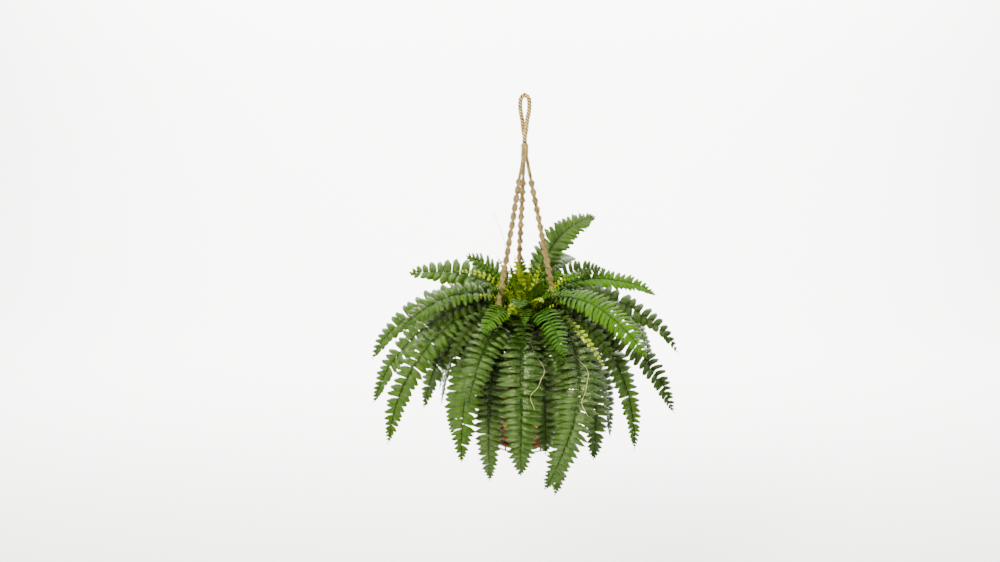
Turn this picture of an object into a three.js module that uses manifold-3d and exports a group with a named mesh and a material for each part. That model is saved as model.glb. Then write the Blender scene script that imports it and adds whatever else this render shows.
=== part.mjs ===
// A Boston fern in a woven hanging basket, in millimetres, +Z up.
// The origin is the inner top of the rope loop, where a hook bears, so the object hangs below it.
// The rope loop is whipped to a shank, from which three knotted arms spread down to the basket's rim.
// The fern's fronds grow from a crown in the basket. Each frond is a thin arched blade, cut into
// leaflets down to its rib, and lies on its own layer of a family of nested arches, so that no two
// fronds cross. Layer 0 hangs close round the basket and layer 1 stands up in the middle.
import * as THREE from "three";
import { mergeVertices } from "three/addons/utils/BufferGeometryUtils.js";
import Module from "manifold-3d";

// ---- Driving dimensions ----
const GAP = 0.3; // running gap between pieces that touch
const SPECK = 0.02; // points of a cut solid closer than this are one point
const RIM_Z = -525; // the basket's rim
const RIM_R = 92; // centre line of the rim hoop
const HOOP_R = 4.5; // radius of the rim hoop's bar
const BASKET_H = 180; // from the rim to the foot ring
const BASE_R = 62; // the woven wall's outside at the bottom
const WALL_TOP_R = 91; // the woven wall's outside at the top
const WALL = 5; // thickness of the woven wall between its bulges
const STAKES = 15; // upright stakes that the strips weave over
const STAKE_DEG = -8; // azimuth of the first stake
const ROWS = 10; // woven rows
const WEAVE = 2.2; // how far a strip stands out where it passes over a stake
const WIRE_R = 1.5; // foot ring's wire
const ROPE_R = 3.5; // rope of the loop
const LOOP_HALF = 8.8; // half the loop's width, at the rope's centre
const LOOP_END_Z = -44; // where the two limbs of the loop meet
const WHIP_TOP_Z = -89;
const WHIP_END_Z = -122;
const WHIP_WRAPS = 8;
const KNOTS_TOP_Z = -155; // the first knot of each arm
const KNOT_PITCH = 17.5; // one half turn of an arm's spiral of knots
const ARM_WIDE = 6; // half widths of an arm's flat knotted section
const ARM_NARROW = 3.4;
const ARM_STRAND = 2.4; // half width of the plain strands above the knots
const ARM_FOOT = 2.2; // half width of the rope bent round the rim hoop
const ARM_DEG = { left: -140, right: -20, back: 100 }; // where each arm meets the rim
const STEM_HALF = 1.6; // half width of a frond's stem
const POINTED = 0.62; // past this share of a frond its leaflets come to one point
const LEAF_THICK = 0.9; // blade thickness at the leaflets
const SOIL_DROP = 22; // the potting mix lies this far under the rim
const CROWN_R = 62;
const RUNNER_R = 0.9;
const LEAFLET_PITCH = 24; // along the rib
const ROLL = 48; // a side frond's blade is turned this far towards the front
const ROOT_DEPTH = -18; // height of a stem's foot against the rim

const DEG = Math.PI / 180;
const group = new THREE.Group();

const green = (hex, roughness = 0.5) => new THREE.MeshStandardMaterial({ color: hex, roughness });
const DARK_LEAF = green(0x2f5f1e);
const MID_LEAF = green(0x4a8426);
const BRIGHT_LEAF = green(0x7fae2c);
const JUTE = new THREE.MeshStandardMaterial({ color: 0xb8935c, roughness: 0.95 });
const STRIP = new THREE.MeshStandardMaterial({ color: 0x5c2f1c, roughness: 0.45 });
const WIRE = new THREE.MeshStandardMaterial({ color: 0x3a2320, roughness: 0.4, metalness: 0.6 });
const LINER = new THREE.MeshStandardMaterial({ color: 0x20221f, roughness: 0.6 });
const SOIL = new THREE.MeshStandardMaterial({ color: 0x3b2a1d, roughness: 1 });
const FIBRE = new THREE.MeshStandardMaterial({ color: 0x5b4226, roughness: 1 });
const RUNNER = new THREE.MeshStandardMaterial({ color: 0xb9b070, roughness: 0.7 });

function add(name, geometry, material) {
  const mesh = new THREE.Mesh(geometry, material);
  mesh.name = name;
  group.add(mesh);
  return mesh;
}

// ---- Booleans ----
const wasm = await Module();
wasm.setup();

function toSolid(geometry) {
  const bare = geometry.index ? geometry.toNonIndexed() : geometry.clone();
  bare.deleteAttribute("normal");
  bare.deleteAttribute("uv");
  const merged = mergeVertices(bare, 1e-4);
  return new wasm.Manifold(
    new wasm.Mesh({
      numProp: 3,
      vertProperties: new Float32Array(merged.attributes.position.array),
      triVerts: new Uint32Array(merged.index.array),
    }),
  );
}

// A solid's skin, with points closer than SPECK brought together and the slivers between them gone.
function fromSolid(solid) {
  const mesh = solid.getMesh();
  const raw = new THREE.BufferGeometry()
    .setAttribute("position", new THREE.BufferAttribute(new Float32Array(mesh.vertProperties), 3))
    .setIndex(new THREE.BufferAttribute(new Uint32Array(mesh.triVerts), 1));
  const skin = mergeVertices(raw, SPECK);
  const kept = [];
  const index = skin.index.array;
  for (let t = 0; t < index.length; t += 3) {
    const [a, b, c] = index.slice(t, t + 3);
    if (a !== b && b !== c && c !== a) kept.push(a, b, c);
  }
  return skin.setIndex(kept);
}

// ---- Surfaces made from points ----
function indexed(points, triangles) {
  return new THREE.BufferGeometry()
    .setFromPoints(points)
    .setIndex(triangles.flat());
}

// Joins rings of equal count into one skin, each ring running the same way round.
// ends is "cap" to close the first and last ring, or "loop" to join the last ring to the first.
function loft(rings, ends) {
  const n = rings[0].length;
  const points = rings.flat();
  const triangles = [];
  const last = ends === "loop" ? rings.length : rings.length - 1;
  for (let i = 0; i < last; i++) {
    const a = i * n;
    const b = ((i + 1) % rings.length) * n;
    for (let j = 0; j < n; j++) {
      const k = (j + 1) % n;
      triangles.push([a + j, a + k, b + k], [a + j, b + k, b + j]);
    }
  }
  if (ends === "cap") {
    const top = (rings.length - 1) * n;
    for (let j = 1; j < n - 1; j++) triangles.push([0, j + 1, j], [top, top + j, top + j + 1]);
  }
  return indexed(points, triangles);
}

// A flat plate of any outline: each point has a top and a bottom, and each triangle runs
// anticlockwise seen from the top. Edges that only one triangle uses get a side wall.
function plate(points, triangles) {
  const n = points.length;
  const skin = [];
  const edges = new Set();
  for (const [a, b, c] of triangles) {
    skin.push([a, b, c], [n + a, n + c, n + b]);
    edges.add(a + "," + b).add(b + "," + c).add(c + "," + a);
  }
  for (const edge of edges) {
    const [a, b] = edge.split(",").map(Number);
    if (!edges.has(b + "," + a)) skin.push([n + a, n + b, b], [n + a, b, a]);
  }
  return indexed([...points.map((p) => p.top), ...points.map((p) => p.bottom)], skin);
}

const polar = (r, deg, z) => new THREE.Vector3(r * Math.cos(deg * DEG), r * Math.sin(deg * DEG), z);

// A solid of revolution about Z from [radius, z] pairs that start and end on the axis, or close.
function lathe(profile, segments = 2 * STAKES) {
  const points = profile.map(([r, z]) => new THREE.Vector2(r, z));
  return new THREE.LatheGeometry(points, segments).rotateX(Math.PI / 2);
}

// ---- Basket ----
// The wall is woven: split strips pass over and under the upright stakes, row by row.
// Under the rim the stakes stand clear, so the arms' end rings can pass round the hoop.
const WALL_TOP_Z = RIM_Z - 13;
const WALL_END_Z = RIM_Z - BASKET_H + 2 * WIRE_R + 2;
const wallRadius = (z) =>
  BASE_R + ((WALL_TOP_R - BASE_R) * (z - WALL_END_Z)) / (WALL_TOP_Z - WALL_END_Z);

function wovenWall() {
  const columns = 2 * STAKES;
  const ring = (radius, z) =>
    Array.from({ length: columns }, (_, j) => polar(radius(j), STAKE_DEG + (360 * j) / columns, z));
  const rings = [];
  const rowHeight = (WALL_TOP_Z - WALL_END_Z) / ROWS;
  for (let row = 0; row < ROWS; row++) {
    const low = WALL_END_Z + row * rowHeight;
    const over = (j) => WEAVE * (1 + 0.6 * Math.cos(Math.PI * (j / 2 + row)));
    rings.push(ring(() => wallRadius(low), low));
    rings.push(ring((j) => wallRadius(low + rowHeight / 2) + over(j), low + rowHeight / 2));
  }
  rings.push(ring(() => wallRadius(WALL_TOP_Z), WALL_TOP_Z));
  rings.push(ring(() => wallRadius(WALL_TOP_Z) - WALL, WALL_TOP_Z));
  rings.push(ring(() => wallRadius(WALL_END_Z) - WALL, WALL_END_Z));
  let wall = toSolid(loft(rings, "loop"));
  const post = (deg, r, low, high) => {
    const box = new THREE.BoxGeometry(3, 4, high - low);
    box.translate(r, 0, (low + high) / 2).rotateZ(deg * DEG);
    return toSolid(box);
  };
  for (let k = 0; k < STAKES; k++) {
    const deg = STAKE_DEG + (360 * k) / STAKES;
    wall = wall.add(post(deg, WALL_TOP_R - WALL / 2, WALL_TOP_Z - 3, RIM_Z - HOOP_R - GAP));
    wall = wall.add(post(deg, BASE_R - WALL / 2, RIM_Z - BASKET_H + 2 * WIRE_R + GAP, WALL_END_Z + 3));
  }
  return fromSolid(wall);
}
add("basket_wall", wovenWall(), STRIP);
add(
  "rim_hoop",
  new THREE.TorusGeometry(RIM_R, HOOP_R, 6, 2 * STAKES).translate(0, 0, RIM_Z),
  STRIP,
);
add(
  "foot_ring",
  new THREE.TorusGeometry(BASE_R - WALL / 2, WIRE_R, 4, 2 * STAKES)
    .translate(0, 0, RIM_Z - BASKET_H + WIRE_R),
  WIRE,
);
const BASE_TOP_Z = WALL_END_Z + 6;
const BASE_LIP_R = BASE_R - WALL - 2 * GAP;
add(
  "basket_base",
  lathe([[0, WALL_END_Z + 1], [BASE_LIP_R, WALL_END_Z + 1], [BASE_LIP_R, BASE_TOP_Z], [0, BASE_TOP_Z]]),
  STRIP,
);

// ---- Inside the basket: liner pot, potting mix, and the fern's crown ----
const LINER_END_Z = BASE_TOP_Z + GAP;
const LINER_TOP_Z = RIM_Z - 17;
const LINER_TOP_R = 82;
const LINER_END_R = 53;
const LINER_WALL = 1.5;
add(
  "liner_pot",
  lathe([
    [0, LINER_END_Z],
    [LINER_END_R, LINER_END_Z],
    [LINER_TOP_R, LINER_TOP_Z],
    [LINER_TOP_R - LINER_WALL, LINER_TOP_Z],
    [LINER_END_R - LINER_WALL, LINER_END_Z + LINER_WALL],
    [0, LINER_END_Z + LINER_WALL],
  ]),
  LINER,
);
const MIX_TOP_Z = RIM_Z - SOIL_DROP;
const MIX_END_Z = LINER_END_Z + LINER_WALL + GAP;
add(
  "potting_mix",
  lathe([
    [0, MIX_END_Z],
    [LINER_END_R - LINER_WALL - 2 * GAP, MIX_END_Z],
    [LINER_TOP_R - LINER_WALL - 1.7, MIX_TOP_Z],
    [0, MIX_TOP_Z],
  ]),
  SOIL,
);

// ---- Hanger ----
// Tube of a round or flat section along a path, with the section turned by turn(step).
function tube(path, section, steps, turn = () => 0) {
  const rings = [];
  const side = new THREE.Vector3();
  for (let i = 0; i <= steps; i++) {
    const at = path.getPointAt(i / steps);
    const along = path.getTangentAt(i / steps);
    side.set(0, 1, 0).addScaledVector(along, -along.y).normalize();
    const up = new THREE.Vector3().crossVectors(side, along);
    rings.push(
      section(i).map(([p, q]) => {
        const c = Math.cos(turn(i));
        const s = Math.sin(turn(i));
        return at.clone().addScaledVector(up, p * c - q * s).addScaledVector(side, p * s + q * c);
      }),
    );
  }
  return loft(rings, "cap");
}
const round = (r, sides) =>
  Array.from({ length: sides }, (_, k) => [
    r * Math.cos((2 * Math.PI * k) / sides),
    r * Math.sin((2 * Math.PI * k) / sides),
  ]);

// The loop: one rope up the left limb, over the hook's seat and down the right limb. Below the
// crotch the limbs turn a quarter round each other and go down through the whipping.
const LIMB = ROPE_R + GAP;
const limb = (side) => [
  new THREE.Vector3(0, -side * LIMB, WHIP_END_Z - 2),
  new THREE.Vector3(0, -side * LIMB, WHIP_TOP_Z + 10),
  new THREE.Vector3(side * LIMB * 0.75, -side * LIMB * 0.75, LOOP_END_Z - 18),
  new THREE.Vector3(side * (LIMB + 0.4), -side * LIMB * 0.2, LOOP_END_Z - 4),
  new THREE.Vector3(side * LOOP_HALF, 0, -20),
];
const loopPath = new THREE.CatmullRomCurve3([
  ...limb(-1),
  new THREE.Vector3(-LOOP_HALF * 0.78, 0, -2),
  new THREE.Vector3(0, 0, ROPE_R),
  new THREE.Vector3(LOOP_HALF * 0.78, 0, -2),
  ...limb(1).reverse(),
]);
add("hanger_loop", tube(loopPath, () => round(ROPE_R, 6), 44), JUTE);

// The whipping: rope wound round both limbs, so its section is an oval of half widths [x, y].
function whipping() {
  const sides = 12;
  const oval = (x, y, z) =>
    Array.from({ length: sides }, (_, k) => {
      const a = (2 * Math.PI * (k + 0.5)) / sides;
      return new THREE.Vector3(x * Math.cos(a), y * Math.sin(a), z);
    });
  const inX = ROPE_R + 1.4;
  const inY = 2 * ROPE_R + 1.7;
  const wrap = 1.9;
  const rings = [];
  const pitch = (WHIP_TOP_Z - WHIP_END_Z) / WHIP_WRAPS;
  for (let w = 0; w < WHIP_WRAPS; w++) {
    const z = WHIP_END_Z + w * pitch;
    rings.push(oval(inX + 0.5, inY + 0.5, z));
    rings.push(oval(inX + wrap, inY + wrap, z + pitch / 2));
  }
  rings.push(oval(inX + 0.5, inY + 0.5, WHIP_TOP_Z));
  rings.push(oval(inX, inY, WHIP_TOP_Z));
  rings.push(oval(inX, inY, WHIP_END_Z));
  return loft(rings, "loop");
}
add("whipping", whipping(), JUTE);

// An arm, made at azimuth 0: plain strands out of the whipping, then a flat knotted section that
// is wide one way and then the other at each half knot. Its foot is bent round the rim hoop until
// it nearly meets itself.
function arm() {
  const side = new THREE.Vector3(0, 1, 0);
  const ring = (at, along, p, q) => {
    const up = new THREE.Vector3().crossVectors(side, along);
    const corners = [[p, 0], [0, q], [-p, 0], [0, -q]];
    return corners.map(([x, y]) => at.clone().addScaledVector(up, x).addScaledVector(side, y));
  };
  const bend = HOOP_R + 0.6 + ARM_FOOT;
  const foot = new THREE.Vector3(RIM_R - 2, 0, RIM_Z + bend - 0.6);
  const head = new THREE.Vector3(4.6, 0, WHIP_END_Z - 3.5);
  const length = head.distanceTo(foot);
  const along = foot.clone().sub(head).normalize();
  const plain = (KNOTS_TOP_Z - head.z) / along.z;
  const halves = 2 * Math.round((length - plain) / KNOT_PITCH);
  const strand = [ARM_STRAND, ARM_STRAND * 0.7];
  const rings = [
    ring(head, along, ...strand),
    ring(head.clone().addScaledVector(along, plain * 0.9), along, ...strand),
  ];
  for (let i = 1; i < halves; i++) {
    const at = head.clone().addScaledVector(along, plain + ((length - plain) * i) / halves);
    rings.push(ring(at, along, ...(i % 2 ? [ARM_WIDE, ARM_NARROW] : [ARM_NARROW, ARM_WIDE])));
  }
  for (let i = 0; i <= 7; i++) {
    const c = Math.cos((35 + 39 * i) * DEG);
    const s = Math.sin((35 + 39 * i) * DEG);
    const at = new THREE.Vector3(RIM_R + bend * s, 0, RIM_Z + bend * c);
    rings.push(ring(at, new THREE.Vector3(c, 0, -s), ARM_FOOT, ARM_FOOT));
  }
  return loft(rings, "cap");
}
const armShape = arm();
for (const [name, deg] of Object.entries(ARM_DEG)) {
  add("arm_" + name, armShape, JUTE).rotation.z = deg * DEG;
}

// ---- The family of nested arches ----
// Each row is one layer's arch from its foot in the crown to the tip: [radius, height over the rim].
const ARCHES = [
  [[52, ROOT_DEPTH], [58, 26], [86, 52], [117, 12], [130, -70], [133, -155], [129, -245]],
  [[42, ROOT_DEPTH], [49, 45], [86, 80], [142, 42], [178, -45], [192, -140], [190, -235]],
  [[32, ROOT_DEPTH], [39, 62], [84, 106], [154, 84], [220, 18], [268, -68], [291, -160]],
  [[22, ROOT_DEPTH], [28, 82], [76, 138], [152, 142], [226, 108], [288, 50], [325, -30]],
  [[14, ROOT_DEPTH], [18, 100], [42, 178], [90, 226], [152, 248], [214, 244], [272, 212]],
  [[9, ROOT_DEPTH], [12, 90], [22, 180], [38, 260], [58, 330], [86, 390], [124, 440]],
];
const archCurves = ARCHES.map(
  (row) => new THREE.SplineCurve(row.map(([r, h]) => new THREE.Vector2(r, h))),
);

// The point of a layer's arch at share u of its length: layers between two rows are mixed.
function archPoint(layer, u) {
  const place = THREE.MathUtils.clamp(layer, 0, 1.25) * 4;
  const low = Math.min(Math.floor(place), archCurves.length - 2);
  return archCurves[low].getPoint(u).lerp(archCurves[low + 1].getPoint(u), place - low);
}

// The line of a stem and rib: on the way its azimuth turns by sweep and its layer grows by rise,
// and it stops at share reach.
function ribCurve({ deg, layer, reach, sweep = 0, rise = 0 }) {
  const points = [];
  const count = 14;
  for (let i = 0; i <= count; i++) {
    const u = (reach * i) / count;
    const { x: r, y: h } = archPoint(layer + rise * u * u, u);
    points.push(polar(r, deg + sweep * u * u, RIM_Z + h));
  }
  return new THREE.CatmullRomCurve3(points);
}

// Local axes of a blade: along the rib, across it, and up out of its upper face.
function axesAt(curve, s) {
  const at = curve.getPointAt(s);
  const along = curve.getTangentAt(s);
  const out = new THREE.Vector3(at.x, at.y, 0).normalize();
  const up = out.clone().multiplyScalar(-along.z);
  up.addScaledVector(new THREE.Vector3(0, 0, 1), along.dot(out)).normalize();
  return { at, along, up, across: new THREE.Vector3().crossVectors(along, up) };
}

// A frond: bare stem, then pairs of leaflets cut to the rib, and an end leaflet.
// start is the share of the length where the leaflets begin, half the widest half width.
function frond(f) {
  const { half = 28, start = 0.23 + 0.19 * f.layer, blunt = 0.62, pitch: spacing = LEAFLET_PITCH } = f;
  const { roll = ROLL * Math.cos(f.deg * DEG) } = f;
  const curve = ribCurve(f);
  const length = curve.getLength();
  const pairs = Math.round((length * (0.965 - start)) / spacing);
  const points = [];
  const triangles = [];
  const put = (s, sideways, onward, thick) => {
    const { at, along, up, across } = axesAt(curve, THREE.MathUtils.clamp(s, 0, 1));
    const turn = roll * DEG * THREE.MathUtils.smoothstep(s, start * 0.6, start + 0.3);
    up.applyAxisAngle(along, turn);
    across.applyAxisAngle(along, turn);
    const sag = (sideways * sideways) / 230;
    const p = at.addScaledVector(across, sideways).addScaledVector(along, onward).addScaledVector(up, -sag);
    points.push({
      top: p.clone().addScaledVector(up, thick / 2),
      bottom: p.clone().addScaledVector(up, -thick / 2),
    });
    return points.length - 1;
  };
  const width = (t) => {
    const opening = 0.5 + 0.5 * Math.sin(Math.min(1, t / 0.35) * Math.PI * 0.5);
    return half * opening * (1 - t ** 3.2) ** 0.75;
  };
  const stemSteps = 3;
  const stations = [];
  for (let i = 0; i < stemSteps; i++) stations.push((start * i) / stemSteps);
  for (let i = 0; i <= pairs; i++) stations.push(start + (0.965 - start) * (1 - (1 - i / pairs) ** 1.25));
  const rib = stations.map((s, i) => {
    const leafy = Math.max(0, i - stemSteps);
    const w = THREE.MathUtils.lerp(STEM_HALF, 0.9, leafy / pairs);
    const thick = THREE.MathUtils.lerp(2 * STEM_HALF, 1.2, Math.min(1, leafy / 3));
    return [put(s, -w, 0, thick), put(s, w, 0, thick)];
  });
  for (let i = 0; i < rib.length - 1; i++) {
    const [l0, r0] = rib[i];
    const [l1, r1] = rib[i + 1];
    triangles.push([l0, r0, r1], [l0, r1, l1]);
    if (i < stemSteps) continue;
    const j = i - stemSteps;
    const t = (j + 0.5) / pairs;
    const pitch = (stations[i + 1] - stations[i]) * length;
    const w = width(t);
    const lean = w * 0.22;
    for (const side of [-1, 1]) {
      const fore = put(stations[i], side * w, pitch * (0.5 + blunt / 2) + lean, LEAF_THICK);
      triangles.push(side > 0 ? [r0, fore, r1] : [l0, l1, fore]);
      if (t > POINTED) continue;
      const rear = put(stations[i], side * w * 0.94, pitch * (0.5 - blunt / 2) + lean, LEAF_THICK);
      triangles.push(side > 0 ? [r0, rear, fore] : [l0, fore, rear]);
    }
  }
  const [l, r] = rib[rib.length - 1];
  const tip = put(1, 0, 0, LEAF_THICK);
  triangles.push([l, r, tip]);
  return plate(points, triangles);
}

// ---- Fronds ----
// deg is the azimuth from +X towards +Y, layer the arch (0 low, 1 upright), reach the share of the
// arch it covers, sweep how far it turns sideways, half its widest half width.
const FRONDS = [
  // front, from left to right: these hang before the basket
  { deg: -158, layer: 0.54, reach: 1.0, sweep: 4, half: 30 },
  { deg: -153.5, layer: 0.12, reach: 0.82, half: 26 },
  { deg: -133, layer: 0.24, reach: 0.88, sweep: 4, half: 33 },
  { deg: -119, layer: 0.42, reach: 0.74, half: 33 },
  { deg: -121, layer: 0.05, reach: 0.94, sweep: 3, half: 32 },
  { deg: -92.5, layer: 0.27, reach: 0.9, half: 43 },
  { deg: -74, layer: 0.05, reach: 0.84, half: 30 },
  { deg: -70, layer: 0.58, reach: 0.64, half: 26, tone: "mid" },
  { deg: -39, layer: 0.36, reach: 0.97, sweep: -46, half: 40 },
  { deg: -53, layer: 0.14, reach: 0.99, sweep: -17, half: 30 },
  { deg: -31, layer: 0.23, reach: 0.88, sweep: -18, half: 33 },
  { deg: -3, layer: 0.37, reach: 0.93, sweep: -22, half: 27 },
  { deg: -117, layer: 0.6, reach: 0.56, half: 24, tone: "bright" },
  // left side
  { deg: -175, layer: 0.56, reach: 0.99, half: 29, rise: 0.07 },
  { deg: 178, layer: 0.69, reach: 0.93, half: 29, rise: 0.05 },
  { deg: 163, layer: 0.8, reach: 0.86, half: 33, rise: 0.14 },
  { deg: -178, layer: 0.3, reach: 0.8, half: 29 },
  { deg: -159, layer: 0.76, reach: 0.76, half: 26 },
  // right side
  { deg: -12, layer: 0.52, reach: 1.0, half: 30, rise: 0.1 },
  { deg: 0, layer: 0.69, reach: 1.0, half: 26, rise: 0.1 },
  { deg: 15, layer: 0.77, reach: 0.98, half: 25, tone: "bright", rise: 0.13 },
  { deg: -37, layer: 0.74, reach: 0.83, half: 30, tone: "bright" },
  { deg: 24, layer: 0.69, reach: 0.95, half: 28 },
  { deg: 10, layer: 0.22, reach: 0.9, half: 28 },
  { deg: -67, layer: 0.89, reach: 0.42, half: 21, tone: "bright" },
  { deg: -4, layer: 0.92, reach: 0.42, half: 15, tone: "bright" },
  // back, from right to left
  { deg: 26, layer: 0.45, reach: 0.95, half: 29 },
  { deg: 36, layer: 1.054, reach: 0.84, half: 32 },
  { deg: 48, layer: 0.2, reach: 0.95, half: 28 },
  { deg: 14.7, layer: 0.883, reach: 0.62, half: 24, rise: -0.06 },
  { deg: 64, layer: 0.6, reach: 0.96, half: 29 },
  { deg: 80, layer: 0.32, reach: 0.9, half: 28 },
  { deg: 117, layer: 0.74, reach: 0.96, half: 28 },
  { deg: 115, layer: 0.18, reach: 0.95, half: 28 },
  { deg: 130, layer: 0.5, reach: 0.95, half: 29 },
  { deg: 176, layer: 0.945, reach: 0.54, half: 28 },
  { deg: 150, layer: 0.28, reach: 0.84, half: 28 },
  { deg: 152, layer: 0.66, reach: 0.96, half: 28 },
  { deg: 56, layer: 0.88, reach: 0.72, half: 27 },
  // over the bare stems at the front
  { deg: -95, layer: 0.74, reach: 0.5, half: 22, tone: "mid" },
];
const TONES = { dark: DARK_LEAF, mid: MID_LEAF, bright: BRIGHT_LEAF };
FRONDS.forEach((f, i) => {
  const name = "frond_" + String(i + 1).padStart(2, "0");
  add(name, frond(f), TONES[f.tone ?? "dark"]);
});

// ---- Young sprigs: short upright shoots with small round leaflets, in the middle ----
const SPRIGS = [
  { deg: -98, layer: 0.98, reach: 0.46 },
  { deg: -38, layer: 1.08, reach: 0.4 },
  { deg: -143, layer: 1.02, reach: 0.34 },
  { deg: 129.5, layer: 1.233, reach: 0.4 },
  { deg: 69, layer: 0.963, reach: 0.42 },
];
SPRIGS.forEach((s, i) => {
  const shape = { ...s, half: 12, pitch: 18, start: 0.42, blunt: 0.75 };
  add("sprig_" + (i + 1), frond(shape), BRIGHT_LEAF);
});

// ---- Runners: bare wiry stems that trail between the fronds ----
const RUNNERS = [
  { deg: -60, layer: 0.48, reach: 0.78, wave: 5 },
  { deg: -83, layer: 0.4, reach: 0.72, wave: 5 },
  { deg: 188, layer: 1.22, reach: 0.62, wave: 1 },
];
RUNNERS.forEach((f, i) => {
  const line = ribCurve(f).getSpacedPoints(14);
  line.forEach((p, k) => {
    p.applyAxisAngle(new THREE.Vector3(0, 0, 1), f.wave * DEG * Math.sin(k * 1.3) * (k / 14));
  });
  const path = new THREE.CatmullRomCurve3(line);
  add("runner_" + (i + 1), tube(path, () => round(RUNNER_R, 4), 16), RUNNER);
});

// ---- Crown: the matted rhizome that the stems stand in, each in a plain hole ----
function crown() {
  const low = MIX_TOP_Z + GAP;
  let solid = toSolid(
    lathe([[0, low], [CROWN_R, low], [CROWN_R - 2, low + 6], [CROWN_R * 0.6, low + 17], [0, low + 22]], 24),
  );
  const holes = [...FRONDS, ...SPRIGS].map((f) => ({ f, half: STEM_HALF }));
  holes.push(...RUNNERS.map((f) => ({ f, half: RUNNER_R })));
  for (const { f, half } of holes) {
    const { at, along, up, across } = axesAt(ribCurve(f), 0);
    const room = 2 * (half + GAP);
    const hole = new THREE.BoxGeometry(room, room, 60).translate(0, 0, 30 - GAP);
    hole.applyMatrix4(new THREE.Matrix4().makeBasis(across, up.negate(), along).setPosition(at));
    solid = solid.subtract(toSolid(hole));
  }
  return fromSolid(solid);
}
add("crown", crown(), FIBRE);

export default group;
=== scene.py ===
import math

import bpy
import numpy as np
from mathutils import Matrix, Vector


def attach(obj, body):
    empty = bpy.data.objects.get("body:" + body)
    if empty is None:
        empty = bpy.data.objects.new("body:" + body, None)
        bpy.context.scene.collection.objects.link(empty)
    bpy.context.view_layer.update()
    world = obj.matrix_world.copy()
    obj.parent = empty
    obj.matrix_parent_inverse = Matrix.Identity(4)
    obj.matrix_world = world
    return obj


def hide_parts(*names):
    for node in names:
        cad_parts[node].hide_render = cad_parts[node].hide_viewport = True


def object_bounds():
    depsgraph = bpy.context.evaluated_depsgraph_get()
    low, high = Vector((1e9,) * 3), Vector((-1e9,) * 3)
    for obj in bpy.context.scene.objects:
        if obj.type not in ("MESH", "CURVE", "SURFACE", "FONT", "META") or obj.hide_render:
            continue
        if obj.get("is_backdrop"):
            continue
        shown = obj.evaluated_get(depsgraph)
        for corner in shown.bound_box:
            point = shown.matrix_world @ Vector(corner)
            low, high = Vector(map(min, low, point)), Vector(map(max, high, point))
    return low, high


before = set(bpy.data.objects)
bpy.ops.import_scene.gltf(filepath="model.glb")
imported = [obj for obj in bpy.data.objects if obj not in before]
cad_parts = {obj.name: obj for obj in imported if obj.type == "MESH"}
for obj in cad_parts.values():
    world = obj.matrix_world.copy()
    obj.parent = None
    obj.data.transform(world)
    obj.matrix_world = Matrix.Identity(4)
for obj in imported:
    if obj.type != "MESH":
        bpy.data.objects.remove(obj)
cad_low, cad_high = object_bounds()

# ---- Camera, floor and light ----
# The camera stands a little above the plant's middle and looks down on it by 12 degrees.
# A pale floor runs up into a pale wall behind, and large soft lamps light the plant from above.
# Lengths are in mm where a mesh is worked out, and in m for the camera and the lamps.
MM = 0.001
camera = bpy.data.objects.new("camera", bpy.data.cameras.new("camera"))
camera.data.lens = 39.6
camera.data.sensor_width = 36.0
camera.location = (-0.048, -2.152, 0.094)
camera.rotation_euler = (math.radians(78), 0, 0)
bpy.context.scene.collection.objects.link(camera)
bpy.context.scene.camera = camera


def paint(code):
    """Linear RGBA of an sRGB hex colour: each channel goes through the sRGB curve."""
    rgb = np.array([int(code[i : i + 2], 16) for i in (1, 3, 5)]) / 255
    linear = np.where(rgb <= 0.04045, rgb / 12.92, ((rgb + 0.055) / 1.055) ** 2.4)
    return (*linear.tolist(), 1.0)


def add_node(tree, kind, settings=None, inputs=None, stops=()):
    """Adds a node, sets its properties, and fills or links its input sockets by name or number.

    kind leaves out the word ShaderNode, and stops are the places and colours of a ramp.
    """
    made = tree.nodes.new("ShaderNode" + kind)
    for key, value in (settings or {}).items():
        setattr(made, key, value)
    for key, value in (inputs or {}).items():
        if isinstance(value, bpy.types.NodeSocket):
            tree.links.new(value, made.inputs[key])
        else:
            made.inputs[key].default_value = value
    for element, (place, code) in zip(made.color_ramp.elements if stops else (), stops):
        element.position, element.color = place, paint(code)
    return made


def new_finish(name):
    """An empty node material and its output node."""
    made = bpy.data.materials.new(name)
    made.use_nodes = True
    made.node_tree.nodes.clear()
    return made, made.node_tree, add_node(made.node_tree, "OutputMaterial")


def put_mesh(name, points, faces, finish, uv=None, marks=None, under=None, crease=None):
    """Makes an object from whole arrays: points in mm, and arrays of faces with one face a row.

    uv has a pair for each point, and marks a red, green, blue triple for each point. under has
    the blue mark of each face instead. Edges that turn by more than crease degrees are sharp.
    """
    mesh = bpy.data.meshes.new(name)
    loops = np.concatenate([f.ravel() for f in faces]).astype(np.int32)
    sizes = np.concatenate([np.full(len(f), f.shape[1]) for f in faces])
    starts = np.concatenate([[0], np.cumsum(sizes)[:-1]]).astype(np.int32)
    mesh.vertices.add(len(points))
    mesh.vertices.foreach_set("co", (np.asarray(points, float) * MM).ravel())
    mesh.loops.add(len(loops))
    mesh.loops.foreach_set("vertex_index", loops)
    mesh.polygons.add(len(sizes))
    mesh.polygons.foreach_set("loop_start", starts)
    mesh.polygons.foreach_set("use_smooth", np.ones(len(sizes), bool))
    if uv is not None:
        layer = mesh.uv_layers.new(name="UVMap")
        layer.data.foreach_set("uv", np.asarray(uv, float)[loops].ravel())
    if marks is not None:
        layer = mesh.color_attributes.new("marks", "FLOAT_COLOR", "CORNER")
        whole = np.ones((len(loops), 4))
        whole[:, :3] = marks[loops]
        if under is not None:
            whole[:, 2] = np.repeat(under, sizes)
        layer.data.foreach_set("color", whole.ravel())
    mesh.update(calc_edges=True)
    if crease is not None:
        mesh.set_sharp_from_angle(angle=math.radians(crease))
    mesh.materials.append(finish)
    made = bpy.data.objects.new(name, mesh)
    bpy.context.scene.collection.objects.link(made)
    return made


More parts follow.
